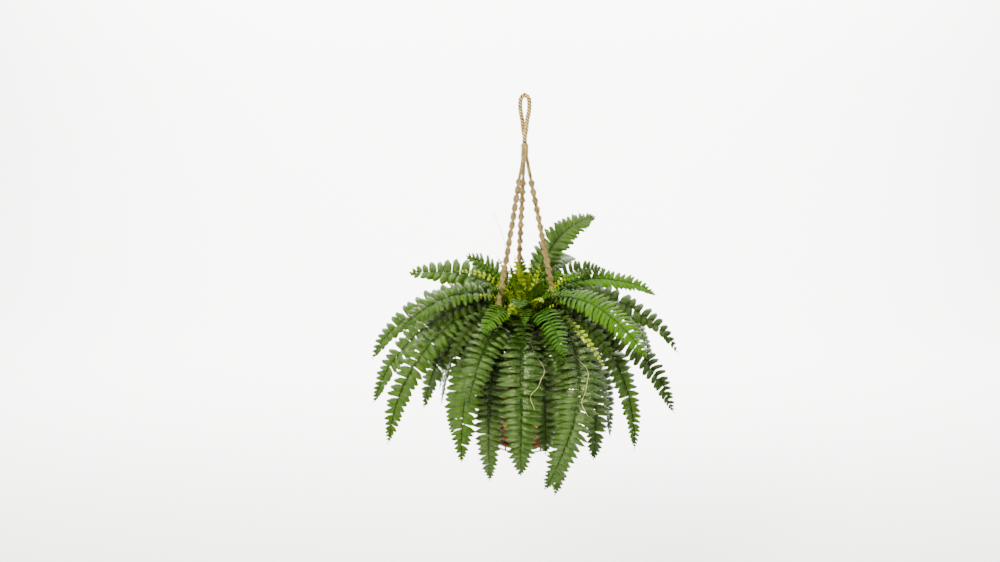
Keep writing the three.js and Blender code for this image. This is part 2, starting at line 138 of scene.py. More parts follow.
def grid_faces(rows, columns, wrap_rows=False, wrap_columns=False):
    """Quads of a grid of points numbered row by row, closed round either way where it wraps."""
    i = np.arange(rows if wrap_rows else rows - 1)[:, None]
    j = np.arange(columns if wrap_columns else columns - 1)[None, :]
    up, right = (i + 1) % rows, (j + 1) % columns
    corners = [i * columns + j, i * columns + right, up * columns + right, up * columns + j]
    return np.stack([np.broadcast_to(c, (len(i), j.shape[1])) for c in corners], -1).reshape(-1, 4)


# The sweep is a floor that turns up into a wall on a quarter circle.
FLOOR_Z = -1150
SWEEP_HALF, SWEEP_FRONT, SWEEP_BACK, SWEEP_TOP = 4500, -6000, 3600, 5200
SWEEP_R = 1200
bend = np.radians(np.linspace(0, 90, 19))
sweep_y = [[SWEEP_FRONT], SWEEP_BACK - SWEEP_R * (1 - np.sin(bend)), [SWEEP_BACK]]
sweep_z = [[0], SWEEP_R * (1 - np.cos(bend)), [SWEEP_TOP]]
sweep = np.stack([np.concatenate(sweep_y), np.concatenate(sweep_z) + FLOOR_Z], 1)
sweep = np.array([[(x, y, z) for x in (-SWEEP_HALF, SWEEP_HALF)] for y, z in sweep])
pale_paper, tree, out = new_finish("backdrop_paper")
sheet = add_node(
    tree, "BsdfPrincipled",
    inputs={"Base Color": paint("#f6f6f4"), "Roughness": 0.9, "Specular IOR Level": 0.1},
)
tree.links.new(sheet.outputs[0], out.inputs[0])
floor = put_mesh("floor", sweep.reshape(-1, 3), [grid_faces(len(sweep), 2)], pale_paper)
floor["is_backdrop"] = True

WARM_LIGHT = (1.0, 0.965, 0.87)
LAMPS = [
    # name, place, aim, size in m, power in W; the wall lamps light the wall behind the plant
    ("key_lamp", (-1.3, -2.0, 1.5), (0, 0, -0.45), 0.8, 200),
    ("fill_lamp", (1.9, -1.6, 0.4), (0, 0, -0.45), 1.6, 34),
    ("top_lamp", (0.2, 0.3, 2.2), (0, 0, -0.45), 1.2, 62),
    ("wall_lamp_left", (-1.7, 1.3, 1.7), (-1.0, 3.6, 0.5), 1.6, 560),
    ("wall_lamp_right", (1.7, 1.3, 1.7), (1.0, 3.6, 0.5), 1.6, 560),
]
for lamp_name, place, aim, size, power in LAMPS:
    lamp = bpy.data.objects.new(lamp_name, bpy.data.lights.new(lamp_name, "AREA"))
    lamp.data.size = size
    lamp.data.energy = power
    if "wall" not in lamp_name:
        lamp.data.color = WARM_LIGHT
    lamp.location = place
    back = np.array(place) - aim
    lamp.rotation_euler = (
        math.atan2(math.hypot(back[0], back[1]), back[2]),
        0,
        math.atan2(back[1], back[0]) + math.pi / 2,
    )
    bpy.context.scene.collection.objects.link(lamp)
world = bpy.data.worlds.new("studio")
world.use_nodes = True
world.node_tree.nodes["Background"].inputs[0].default_value = (1, 1, 1, 1)
world.node_tree.nodes["Background"].inputs[1].default_value = 0.22
bpy.context.scene.world = world

# ---- Rope loop ----
# A three-strand jute rope, doubled into a loop that hangs on the hook. Its two limbs turn round
# each other below the loop and go down through the whipping. ROPE_R is the rope's radius in the
# solid, and its strands stand out past that.
RIM_Z = -525.0
ROPE_R = 3.5
STRAND_R = 1.32 * ROPE_R
LOOP_HALF, LOOP_END_Z = 8.8, -44.0
WHIP_TOP_Z, WHIP_END_Z = -89.0, -122.0
LIMB = ROPE_R + 0.3


def smooth_path(knots, count):
    """Centripetal Catmull-Rom spline through the knots, as count points an equal way apart.

    Each span mixes its four nearest knots by the pyramid formula of Barry and Goldman.
    """
    knots = np.asarray(knots, float)
    knots = np.concatenate([[2 * knots[0] - knots[1]], knots, [2 * knots[-1] - knots[-2]]])
    gaps = np.linalg.norm(np.diff(knots, axis=0), axis=1) ** 0.5
    t = np.concatenate([[0], np.cumsum(gaps)])
    at = np.linspace(t[1], t[-2], 40 * len(knots))
    k = np.clip(np.searchsorted(t, at, "right") - 1, 1, len(knots) - 3)
    p = [knots[k + d] for d in (-1, 0, 1, 2)]
    s = [t[k + d][:, None] for d in (-1, 0, 1, 2)]
    at = at[:, None]

    def mix(a, b, ta, tb):
        return ((tb - at) * a + (at - ta) * b) / (tb - ta)

    a = [mix(p[i], p[i + 1], s[i], s[i + 1]) for i in range(3)]
    b = [mix(a[i], a[i + 1], s[i], s[i + 2]) for i in range(2)]
    return even_path(mix(b[0], b[1], s[1], s[2]), count)


def even_path(points, count):
    """The same path as count points an equal way apart, by linear interpolation on its length."""
    run = np.concatenate([[0], np.cumsum(np.linalg.norm(np.diff(points, axis=0), axis=1))])
    at = np.linspace(0, run[-1], count)
    return np.stack([np.interp(at, run, points[:, c]) for c in range(3)], 1)


def unit(v):
    """Vectors of length 1 the same way."""
    return v / np.maximum(np.linalg.norm(v, axis=-1, keepdims=True), 1e-12)


def carry(path, radius, toward, sides):
    """A closed tube: a ring of sides points carried along the path, radius[i, j] from it.

    Each ring stands square to the path, with its angle counted from the direction toward.
    Returns points, faces and UVs, where u is the angle's share and v the distance in mm.
    """
    along = unit(np.gradient(path, axis=0))
    across = unit(np.cross(along, toward))
    lift = np.cross(across, along)
    angle = 2 * np.pi * np.arange(sides) / sides
    radius = np.broadcast_to(radius, (len(path), sides))[..., None]
    ring = across[:, None] * np.cos(angle)[:, None] + lift[:, None] * np.sin(angle)[:, None]
    points = (path[:, None] + radius * ring).reshape(-1, 3)
    faces = grid_faces(len(path), sides, wrap_columns=True)[:, ::-1]
    first, last = len(points), len(points) + 1
    points = np.concatenate([points, path[:1], path[-1:]])
    j = np.arange(sides)
    k = (j + 1) % sides
    end = (len(path) - 1) * sides
    caps = np.concatenate(
        [np.stack([j, k, j * 0 + first], 1), np.stack([end + k, end + j, j * 0 + last], 1)]
    )
    run = np.concatenate([[0], np.cumsum(np.linalg.norm(np.diff(path, axis=0), axis=1))])
    u = np.broadcast_to(angle / (2 * np.pi), (len(path), sides))
    v = np.broadcast_to(run[:, None], (len(path), sides))
    uv = np.stack([u, v], -1).reshape(-1, 2)
    return points, [faces, caps], np.concatenate([uv, [[0, 0], [0, run[-1]]]])


def rope(path, radius, strands, lay, toward, sides):
    """A laid rope: strands bulge round it and turn once in each lay length of lay mm.

    Its radius is 0.68 plus 0.32 of the absolute cosine of half the strand angle to the power of
    0.8, times radius. Its UVs count strands, so a strand's crest lies where u - v is a whole
    number.
    """
    run = np.concatenate([[0], np.cumsum(np.linalg.norm(np.diff(path, axis=0), axis=1))])
    share = np.arange(sides)[None, :] / sides - run[:, None] / lay
    bulge = radius * (0.68 + 0.32 * np.abs(np.cos(np.pi * strands * share)) ** 0.8)
    points, faces, uv = carry(path, bulge, toward, sides)
    return points, faces, uv * (strands, strands / lay)


# Jute: a matt, hairy bast fibre, spun and laid. Its yarns slant along the strands, and the
# grooves between strands get painted shade, a darker colour. A wave is a twentieth of 2 pi long,
# so turned by 45 degrees and scaled by STRAND_WAVE it has one crest for each strand.
STRAND_WAVE = 0.4443
jute, tree, out = new_finish("jute_rope")
coords = add_node(tree, "TexCoord")
along_strand = add_node(
    tree, "Mapping",
    inputs={
        "Vector": coords.outputs["UV"], "Rotation": (0, 0, math.pi / 4),
        "Scale": (STRAND_WAVE, STRAND_WAVE, 1),
    },
)
groove = add_node(tree, "TexWave", inputs={"Vector": along_strand.outputs[0], "Scale": 1.0})
yarn = add_node(
    tree, "TexWave",
    inputs={"Vector": along_strand.outputs[0], "Scale": 4.0, "Distortion": 1.5, "Detail": 3},
)
blotch = add_node(
    tree, "TexNoise", inputs={"Vector": coords.outputs["Object"], "Scale": 110, "Detail": 7}
)
fibre = add_node(
    tree, "TexNoise", inputs={"Vector": coords.outputs["Object"], "Scale": 1500, "Detail": 4}
)
# Painted shade: the groove wave darkens the colour between the strands, and the blotch noise is the
# fibre's own patchy tone.
groove_shade_and_blotch = add_node(
    tree, "Math",
    {"operation": "MULTIPLY_ADD"},
    {0: groove.outputs["Fac"], 1: -0.65, 2: blotch.outputs["Fac"]},
)
mixed = add_node(
    tree, "Math",
    {"operation": "MULTIPLY_ADD"},
    {0: yarn.outputs["Fac"], 1: 0.30, 2: groove_shade_and_blotch.outputs[0]},
)
ramp = add_node(
    tree, "ValToRGB", inputs={"Fac": mixed.outputs[0]}, stops=[(0.08, "#3a2204"), (0.52, "#fcd67e")]
)
height = add_node(
    tree, "Math",
    {"operation": "MULTIPLY_ADD"},
    {0: fibre.outputs["Fac"], 1: 0.8, 2: yarn.outputs["Fac"]},
)
relief = add_node(
    tree, "Bump", inputs={"Strength": 1.0, "Distance": 0.0008, "Height": height.outputs[0]}
)
skin = add_node(
    tree, "BsdfPrincipled",
    inputs={
        "Base Color": ramp.outputs[0], "Roughness": 0.95, "Specular IOR Level": 0.15,
        "Sheen Weight": 0.15, "Normal": relief.outputs[0],
    },
)
tree.links.new(skin.outputs[0], out.inputs[0])


def fuzz(path, radius, count, longest, rng):
    """Stray fibres of a cord: bent three-sided spikes that root in it and stand off it.

    Each one leaves along a random direction square to the path, then leans by a random share of
    its length along the path. Returns points, faces and UVs.
    """
    k = rng.integers(2, len(path) - 2, count)
    along = unit(np.gradient(path, axis=0))[k]
    out_way = unit(np.cross(unit(rng.normal(size=(count, 3))), along))
    third = np.cross(along, out_way)
    size = longest * rng.uniform(0.3, 1, (count, 1))
    root = path[k] + out_way * radius * 0.6
    middle = root + size * (0.35 * out_way + rng.uniform(-0.4, 0.4, (count, 1)) * along)
    tip = middle + size * (0.25 * out_way + rng.uniform(-0.5, 0.5, (count, 1)) * along)
    tip = tip + size * rng.uniform(-0.4, 0.4, (count, 1)) * third
    points = []
    for place, thick in ((root, 0.11), (middle, 0.07)):
        for turn in (0.0, 2.1, 4.2):
            points.append(place + thick * (math.cos(turn) * along + math.sin(turn) * third))
    points = np.stack([*points, tip], 1)
    spike = [[0, 2, 1], [0, 1, 4], [0, 4, 3], [1, 2, 5], [1, 5, 4], [2, 0, 3], [2, 3, 5]]
    spike = np.array([*spike, [3, 4, 6], [4, 5, 6], [5, 3, 6]])
    faces = (spike[None, :, ::-1] + 7 * np.arange(count)[:, None, None]).reshape(-1, 3)
    return points.reshape(-1, 3), [faces], np.tile([0.0, 0.0], (7 * count, 1))


def limb(side):
    """Knots of one limb, from the whipping up to the side of the loop."""
    return [
        (0, -side * LIMB, WHIP_END_Z - 2),
        (0, -side * LIMB, WHIP_TOP_Z + 10),
        (side * LIMB * 0.75, -side * LIMB * 0.75, LOOP_END_Z - 18),
        (side * (LIMB + 0.4), -side * LIMB * 0.2, LOOP_END_Z - 4),
        (side * LOOP_HALF, 0, -20),
    ]


def join(parts):
    """Several (points, faces, uv) shapes as one."""
    points, faces, uvs, first = [], [], [], 0
    for p, f, uv in parts:
        points.append(p)
        uvs.append(uv)
        faces += [group + first for group in f]
        first += len(p)
    return np.concatenate(points), faces, np.concatenate(uvs)


on_hook = [(-LOOP_HALF * 0.78, 0, -2), (0, 0, ROPE_R), (LOOP_HALF * 0.78, 0, -2)]
loop_path = smooth_path(limb(-1) + on_hook + limb(1)[::-1], 360)
loop_fuzz = fuzz(loop_path, ROPE_R, 420, 6.0, np.random.default_rng(11))
loop_rope = rope(loop_path, STRAND_R, strands=3, lay=18.0, toward=(0, 1, 0), sides=24)
points, faces, uv = join([loop_rope, loop_fuzz])
loop = put_mesh("rope_loop", points, faces, jute, uv)
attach(loop, "root")
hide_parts("hanger_loop")

# ---- Whipping ----
# One yarn wound tightly round both limbs, turn on turn, which gathers the hanger's cords. Its
# tail is tucked down inside, and a few turns lie a little askew.
YARN_R = 2.3
TURNS = 7
turn = np.linspace(0, 2 * np.pi * TURNS, 60 * TURNS)
askew = 0.5 * np.sin(turn * 0.37 + 0.6) + 0.35 * np.sin(turn * 1.31)
whip_x = ROPE_R + 1.8 + 0.35 * np.sin(turn * 0.83)
whip_y = 2 * ROPE_R + 1.9
whip_z = WHIP_END_Z + YARN_R + (WHIP_TOP_Z - WHIP_END_Z - 2 * YARN_R) * turn / turn[-1]
whip_path = np.stack(
    [whip_x * np.cos(turn), whip_y * np.sin(turn), whip_z + askew * np.cos(turn)], 1
)
whip_path = even_path(whip_path, 640)
whip_fuzz = fuzz(whip_path, YARN_R, 160, 4.0, np.random.default_rng(12))
whip_yarn = rope(whip_path, YARN_R, strands=2, lay=7.0, toward=(0, 0, 1), sides=12)
points, faces, uv = join([whip_yarn, whip_fuzz])
whipping = put_mesh("whipping_yarn", points, faces, jute, uv)
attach(whipping, "root")
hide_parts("whipping")

# ---- Knotted arms ----
# Three macrame arms carry the basket. Two filler cords run straight down each arm, and two more
# are tied round them in half knots, which makes the flat sinnet turn half round every 17.5 mm.
# Each arm ends in two turns of cord round the rim hoop.
RIM_R = 92.0
HOOP_R = 4.5
KNOTS_TOP_Z = -155.0
KNOT_TURN = 17.5
KNOT_WIDE, KNOT_NARROW, KNOT_WRAP = 5.3, 1.9, 6.2
CORD_R, CORD_LAY, CORD_SIDES = 1.8, 4.5, 8
ARM_DEG = {"arm_left": -140, "arm_right": -20, "arm_back": 100}


def turned(points, deg):
    """Points turned about the Z axis."""
    c, s = math.cos(math.radians(deg)), math.sin(math.radians(deg))
    return points @ np.array([[c, s, 0], [-s, c, 0], [0, 0, 1]])


def knotted_arm(seed):
    """An arm at azimuth 0: fillers near its line, and two cords that circle them on a flat oval.

    The oval is KNOT_WIDE and KNOT_NARROW mm in half width, each cord goes round once in
    KNOT_WRAP mm, and the oval turns half round in each KNOT_TURN, so that it looks wide and
    narrow by turns. It swells by the cosine of four times its turn. Above the knots all four
    cords run plain.
    """
    rng = np.random.default_rng(seed)
    foot = np.array([RIM_R - 2, 0, RIM_Z + HOOP_R + 2.2])
    head = np.array([4.6, 0, WHIP_END_Z + 4])
    length = np.linalg.norm(foot - head)
    axis = (foot - head) / length
    side = np.array([0.0, 1.0, 0.0])
    lift = np.cross(side, axis)
    plain = (KNOTS_TOP_Z - head[2]) / axis[2]
    s = np.linspace(0, length, 860)
    into = np.clip((s - plain) / 6, 0, 1)[:, None]
    wobble = 0.25 * np.sin(s / 23 + rng.uniform(0, 6, (2, 1))) + 0.15 * np.sin(s / 9)
    line = head + s[:, None] * axis + wobble[0][:, None] * side + wobble[1][:, None] * lift
    flat = np.pi * (s - plain) / KNOT_TURN + rng.uniform(-0.4, 0.4)
    parts = []
    for phase in (0, np.pi):
        round_ = 2 * np.pi * (s - plain) / KNOT_WRAP + phase
        swell = 0.98 + 0.10 * np.cos(4 * flat) + 0.06 * np.sin(s / 5.1 + phase)
        a, b = KNOT_WIDE * swell * np.cos(round_), KNOT_NARROW * swell * np.sin(round_)
        knot = (a * np.cos(flat) - b * np.sin(flat))[:, None] * side
        knot = knot + (a * np.sin(flat) + b * np.cos(flat))[:, None] * lift
        straight = CORD_R * (np.cos(phase) * side + 0.2 * np.sin(phase) * lift)
        path = even_path(line + into * knot + (1 - into) * straight, 1000)
        parts.append(rope(path, CORD_R, 2, CORD_LAY, axis, CORD_SIDES))
    for phase in (0, np.pi):
        offset = np.cos(flat + phase)[:, None] * side + np.sin(flat + phase)[:, None] * lift
        straight = CORD_R * np.cos(phase) * lift * 1.1
        path = line + into * (0.75 * CORD_R) * offset + (1 - into) * straight
        parts.append(rope(path[::3], CORD_R, 2, CORD_LAY, side, CORD_SIDES))
    wrap = np.linspace(0, 4 * np.pi, 150)
    reach = HOOP_R + 0.9 + CORD_R
    path = [reach * np.sin(wrap), (wrap / np.pi - 2) * 1.55, reach * np.cos(wrap)]
    path = np.stack(path, 1) + (RIM_R, 0, RIM_Z)
    parts.append(rope(path, CORD_R * 1.1, 2, CORD_LAY, side, CORD_SIDES))
    parts.append(fuzz(line, 5.0, 800, 7.0, rng))
    return join(parts)


for number, (node, deg) in enumerate(ARM_DEG.items()):
    points, faces, uv = knotted_arm(number)
    arm = put_mesh("knotted_" + node, turned(points, deg), faces, jute, uv)
    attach(arm, "root")
    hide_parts(node)

# ---- Basket wall ----
# One long split strip is woven over and under 15 upright stakes, row upon row, from the foot up.
# The strips are stained in several browns, and one row low down is golden.
BASKET_H = 180.0
WALL_TOP_Z = RIM_Z - 13
WALL_END_Z = RIM_Z - BASKET_H + 5
WALL_TOP_R, BASE_R = 91.0, 62.0
STAKES = 15
STAKE_DEG = -8.0
ROWS = 18
ROW_H = (WALL_TOP_Z - WALL_END_Z) / ROWS
STRIP_SWING, STRIP_HALF = 2.3, 1.35
STAKE_R = 1.7
ROW_STAINS = [
    "#5c2800", "#2c1400", "#642e02", "#40300a", "#3e1a00", "#d08a00", "#301608", "#3a1e02",
    "#5e2a00", "#2e1400", "#4e2602", "#261206", "#5a2a00", "#361a00", "#522200", "#301804",
    "#562600", "#402000",
]


def wall_radius(z):
    """Outside radius of the tapered wall, in a straight line from its foot to its top."""
    return BASE_R + (WALL_TOP_R - BASE_R) * (z - WALL_END_Z) / (WALL_TOP_Z - WALL_END_Z)


def woven_strip():
    """The strip's oval section carried up a spiral that swings out and in between the stakes.

    The swing is the cosine of half the stake count passed, squared up a little so the strip lies
    flat over a stake. An odd number of stakes makes each row the reverse of the last.
    """
    steps = 10
    turns = np.arange(ROWS * STAKES * steps + 1) / (STAKES * steps)
    stake = turns * STAKES
    z = WALL_END_Z + ROW_H * 0.5 + (ROWS - 1) * ROW_H * turns / turns[-1]
    swing = np.cos(np.pi * stake)
    swing = STRIP_SWING * np.sign(swing) * np.abs(swing) ** 0.75
    radius = wall_radius(z) - 1.2 + swing
    angle = np.radians(STAKE_DEG) + 2 * np.pi * turns
    out_way = np.stack([np.cos(angle), np.sin(angle), 0 * angle], 1)
    centre = out_way * radius[:, None] + np.stack([0 * z, 0 * z, z], 1)
    sides = 8
    a = 2 * np.pi * np.arange(sides) / sides
    tall = (ROW_H * 0.53) * np.sign(np.sin(a)) * np.abs(np.sin(a)) ** 0.8
    thick = STRIP_HALF * np.sign(np.cos(a)) * np.abs(np.cos(a)) ** 0.8
    ring = centre[:, None] + out_way[:, None] * thick[:, None]
    ring[..., 2] += tall * (1 - 0.10 * np.abs(swing[:, None]) / STRIP_SWING)
    points = ring.reshape(-1, 3)
    rows = len(turns)
    faces = grid_faces(rows, sides, wrap_columns=True)[:, ::-1]
    j = np.arange(1, sides - 1)
    start = np.stack([0 * j, j, j + 1], 1)
    end = (rows - 1) * sides + np.stack([0 * j, j + 1, j], 1)
    uv = np.stack(np.broadcast_arrays(turns[:, None], a / (2 * np.pi)), -1).reshape(-1, 2)
    band = np.minimum(turns.astype(int), ROWS - 1)
    stains = np.array([paint(code)[:3] for code in ROW_STAINS])[band]
    return points, [faces, np.concatenate([start, end])], uv, np.repeat(stains, sides, 0)


# Split and stained wood strip under thin varnish: fine grain along the strip, soft shine.
strip_wood, tree, out = new_finish("stained_split_strip")
stain = add_node(tree, "VertexColor", {"layer_name": "marks"})
coords = add_node(tree, "TexCoord")
stretch = add_node(tree, "Mapping", inputs={"Vector": coords.outputs["UV"], "Scale": (26, 34, 1)})
grain = add_node(tree, "TexNoise", inputs={"Vector": stretch.outputs[0], "Scale": 1.6, "Detail": 7})
patch = add_node(
    tree, "TexNoise", inputs={"Vector": coords.outputs["Object"], "Scale": 55, "Detail": 3}
)
depth = add_node(
    tree, "Math", {"operation": "MULTIPLY"}, {0: grain.outputs["Fac"], 1: patch.outputs["Fac"]}
)
shade = add_node(
    tree, "MapRange", inputs={"Value": depth.outputs[0], 1: 0.12, 2: 0.42, 3: 0.45, 4: 1.5}
)
tone = add_node(
    tree, "Mix",
    {"data_type": "RGBA", "blend_type": "MULTIPLY"},
    {"Factor": 1.0, 6: stain.outputs["Color"], 7: shade.outputs[0]},
)
relief = add_node(
    tree, "Bump", inputs={"Strength": 0.5, "Distance": 0.0005, "Height": grain.outputs["Fac"]}
)
skin = add_node(
    tree, "BsdfPrincipled",
    inputs={
        "Base Color": tone.outputs[2], "Roughness": 0.42, "Specular IOR Level": 0.25,
        "Specular Tint": paint("#ffca8a"), "Normal": relief.outputs[0],
    },
)
tree.links.new(skin.outputs[0], out.inputs[0])


def plain_marks(count, code):
    """The same stain for every point."""
    return np.tile(paint(code)[:3], (count, 1))


points, faces, uv, marks = woven_strip()
posts = []
for k in range(STAKES):
    deg = STAKE_DEG + 360 * k / STAKES
    z = np.linspace(RIM_Z - BASKET_H + 3.3, RIM_Z - HOOP_R - 0.2, 24)
    path = np.stack([wall_radius(z) - 1.9, 0 * z, z], 1)
    sideways = turned(np.array([0.0, 1.0, 0.0]), deg)
    posts.append(carry(turned(path, deg), STAKE_R, sideways, 8))
post_points, post_faces, post_uv = join(posts)
faces += [f + len(points) for f in post_faces]
marks = np.concatenate([marks, plain_marks(len(post_points), "#301002")])
uv = np.concatenate([uv, post_uv * (1, 0.02)])
points = np.concatenate([points, post_points])
wall = put_mesh("woven_wall", points, faces, strip_wood, uv, marks)
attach(wall, "root")
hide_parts("basket_wall")

# ---- Rim hoop ----
# A bent cane hoop along the rim, bound all round with a narrow split strip.
BINDINGS = 46
HOOP_STEPS, HOOP_SIDES = 600, 16
hoop_angle = 2 * np.pi * np.arange(HOOP_STEPS) / HOOP_STEPS
tube_angle = 2 * np.pi * np.arange(HOOP_SIDES) / HOOP_SIDES
binding = BINDINGS * hoop_angle[:, None] - tube_angle
bar = HOOP_R * (0.95 + 0.10 * np.abs(np.sin(binding / 2)) ** 0.5)
hoop_r = RIM_R + bar * np.cos(tube_angle)
hoop_points = np.stack(
    [
        hoop_r * np.cos(hoop_angle[:, None]),
        hoop_r * np.sin(hoop_angle[:, None]),
        RIM_Z + bar * np.sin(tube_angle),
    ],
    -1,
).reshape(-1, 3)
hoop_uv = np.stack(
    np.broadcast_arrays(hoop_angle[:, None] * 3, tube_angle / (2 * np.pi)), -1
).reshape(-1, 2)
hoop = put_mesh(
    "bound_rim_hoop",
    hoop_points,
    [grid_faces(HOOP_STEPS, HOOP_SIDES, True, True)[:, ::-1]],
    strip_wood,
    hoop_uv,
    plain_marks(len(hoop_points), "#381404"),
)
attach(hoop, "root")
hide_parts("rim_hoop")

# ---- Foot ring ----
# A thin dark wire ring under the wall that keeps the weave off a shelf, with a sliver of light
# between them. Each stake's foot bends over it in a small wire tie.
WIRE_R = 1.5
FOOT_R = BASE_R - 2.5
TIE_R, TIE_WIRE_R = 1.9, 0.35
RING_STEPS, WIRE_SIDES = 180, 12
ring_angle = 2 * np.pi * np.arange(RING_STEPS) / RING_STEPS
wire_angle = 2 * np.pi * np.arange(WIRE_SIDES) / WIRE_SIDES
wire_r = FOOT_R + WIRE_R * np.cos(wire_angle)
ring_points = np.stack(
    np.broadcast_arrays(
        wire_r * np.cos(ring_angle[:, None]),
        wire_r * np.sin(ring_angle[:, None]),
        RIM_Z - BASKET_H + WIRE_R + WIRE_R * np.sin(wire_angle),
    ),
    -1,
).reshape(-1, 3)
ring_faces = grid_faces(RING_STEPS, WIRE_SIDES, True, True)[:, ::-1]
ties = [(ring_points, [ring_faces], np.zeros((len(ring_points), 2)))]
a = np.linspace(0, 2 * np.pi, 26)
tie = np.stack([TIE_R * np.cos(a), 1.2 * (a / np.pi - 1), TIE_R * np.sin(a)], 1)
tie += (FOOT_R, 0, RIM_Z - BASKET_H + TIE_R)
for k in range(STAKES):
    ties.append(carry(turned(tie, STAKE_DEG + 360 * k / STAKES), TIE_WIRE_R, (0, 0, 1), 6))
# Painted steel wire: smooth, dark red-brown, with the light running along it.
wire_paint, tree, out = new_finish("painted_wire")
coords = add_node(tree, "TexCoord")
rub = add_node(
    tree, "TexNoise", inputs={"Vector": coords.outputs["Object"], "Scale": 120, "Detail": 4}
)
ramp = add_node(
    tree, "ValToRGB", inputs={"Fac": rub.outputs["Fac"]}, stops=[(0, "#2a1512"), (1, "#5a2f28")]
)
skin = add_node(
    tree, "BsdfPrincipled",
    inputs={"Base Color": ramp.outputs[0], "Roughness": 0.35, "Coat Weight": 0.3},
)
tree.links.new(skin.outputs[0], out.inputs[0])
points, faces, uv = join(ties)
foot = put_mesh("foot_wire_ring", points, faces, wire_paint, uv)
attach(foot, "root")
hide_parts("foot_ring")


# ---- Basket base ----
# A round woven mat that closes the bottom: strips wound round and round over spokes.
def turned_profile(profile, steps, relief=None):
    """A closed solid of revolution: profile pairs of radius and height, turned about the axis.

    The profile starts and ends on the axis, and relief adds to each point's height.
    """
    profile = np.asarray(profile, float)
    inner = profile[1:-1]
    angle = 2 * np.pi * np.arange(steps) / steps
    height = inner[:, None, 1] + (0 if relief is None else relief(inner[:, None, 0], angle))
    height = np.broadcast_to(height, (len(inner), steps))
    points = np.stack(
        [inner[:, :1] * np.cos(angle), inner[:, :1] * np.sin(angle), height], -1
    ).reshape(-1, 3)
    faces = grid_faces(len(inner), steps, wrap_columns=True)
    first, last = len(points), len(points) + 1
    ends = np.array([[0, 0, profile[0, 1]], [0, 0, profile[-1, 1]]])
    j = np.arange(steps)
    k = (j + 1) % steps
    end = (len(inner) - 1) * steps
    caps = np.concatenate(
        [np.stack([k, j, j * 0 + first], 1), np.stack([end + j, end + k, j * 0 + last], 1)]
    )
    uv = np.concatenate([points[:, :2] * 0.01, np.zeros((2, 2))])
    return np.concatenate([points, ends]), [faces, caps], uv


MAT_R = BASE_R - 5.6
MAT_ROW, SPOKES = 6, 20
BASE_LOW, BASE_TOP = WALL_END_Z + 1.6, WALL_END_Z + 6
mat_r = np.concatenate([[0.0], np.linspace(1, MAT_R, 30)])
under = np.stack([mat_r, np.full(len(mat_r), BASE_LOW)], 1)
over = np.stack([mat_r[::-1], np.full(len(mat_r), BASE_TOP)], 1)


def mat_weave(r, angle):
    """Rows that rise and fall over the spokes as a cosine, each the reverse of the last."""
    row = np.floor(r / MAT_ROW)
    wave = 0.5 * np.cos(SPOKES / 2 * angle + np.pi * row)
    return wave * np.sin(np.pi * (r / MAT_ROW - row)) * (r < MAT_R - 2)


points, faces, uv = turned_profile(np.concatenate([under, over]), 120, mat_weave)
base_marks = plain_marks(len(points), "#5c2a0a")
base = put_mesh("woven_base", points, faces, strip_wood, uv, base_marks)
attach(base, "root")
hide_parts("basket_base")

# ---- Liner pot ----
# A thin moulded plastic pot that stands inside the basket and holds the mix, with a rolled lip.
LINER_END_Z = BASE_TOP + 0.3
LINER_TOP_Z = RIM_Z - 17
LINER_TOP_R, LINER_END_R, LINER_WALL = 82.0, 53.0, 1.5
LIP_R = 1.2
lip = np.radians(np.linspace(-90, 90, 9))
outside = [[0, LINER_END_Z], [LINER_END_R - 1.5, LINER_END_Z], [LINER_END_R, LINER_END_Z + 1.5]]
outside += [[LINER_TOP_R - 1, LINER_TOP_Z - 4]]
roll = LIP_R * np.stack([np.cos(lip), np.sin(lip)], 1) + (LINER_TOP_R - 0.8, LINER_TOP_Z - LIP_R)
inside = [[LINER_TOP_R - LINER_WALL - 1, LINER_TOP_Z - 4]]
inside += [[LINER_END_R - LINER_WALL, LINER_END_Z + LINER_WALL], [0, LINER_END_Z + LINER_WALL]]
points, faces, uv = turned_profile(np.concatenate([outside, roll, inside]), 96)
# Injection moulded polypropylene, dark, with a fine matt mould texture.
liner_plastic, tree, out = new_finish("moulded_polypropylene")
coords = add_node(tree, "TexCoord")
mould = add_node(
    tree, "TexNoise", inputs={"Vector": coords.outputs["Object"], "Scale": 700, "Detail": 3}
)
ramp = add_node(
    tree, "ValToRGB", inputs={"Fac": mould.outputs["Fac"]}, stops=[(0, "#171816"), (1, "#2b2d2a")]
)
relief = add_node(
    tree, "Bump", inputs={"Strength": 0.2, "Distance": 0.0002, "Height": mould.outputs["Fac"]}
)
skin = add_node(
    tree, "BsdfPrincipled",
    inputs={"Base Color": ramp.outputs[0], "Roughness": 0.6, "Normal": relief.outputs[0]},
)
tree.links.new(skin.outputs[0], out.inputs[0])
liner = put_mesh("liner_pot_shell", points, faces, liner_plastic, uv)
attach(liner, "root")
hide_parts("liner_pot")

# ---- Potting mix ----
# Peat, bark crumbs and perlite that fill the liner to just under its lip.
MIX_TOP_Z = RIM_Z - 22
MIX_TOP_R = LINER_TOP_R - LINER_WALL - 1.7
MIX_END_R = LINER_END_R - LINER_WALL - 0.6
mix_low = LINER_END_Z + LINER_WALL + 0.3
mix_side = np.linspace([MIX_END_R, mix_low], [MIX_TOP_R, MIX_TOP_Z - 0.5], 8)
mix_top = np.linspace([MIX_TOP_R - 1, MIX_TOP_Z], [1, MIX_TOP_Z], 44)
profile = np.concatenate([[[0, mix_low]], mix_side, mix_top, [[0, MIX_TOP_Z]]])


def crumbs(r, angle):
    """Small heaps on the top: sines of the plane coordinates at three scales, flat at the wall."""
    x, y = r * np.cos(angle), r * np.sin(angle)
    heap = 0.5 * np.sin(x / 5 + 2 * np.sin(y / 7)) * np.sin(y / 6 + 1.5 * np.sin(x / 9))
    heap = (heap + 0.25 * np.sin(x / 1.7) * np.sin(y / 1.9)) * (r < MIX_TOP_R - 3) - 0.3
    on_side = np.arange(len(r))[:, None] < len(mix_side)
    return np.where(on_side, 0.0, heap)


points, faces, uv = turned_profile(profile, 150, crumbs)
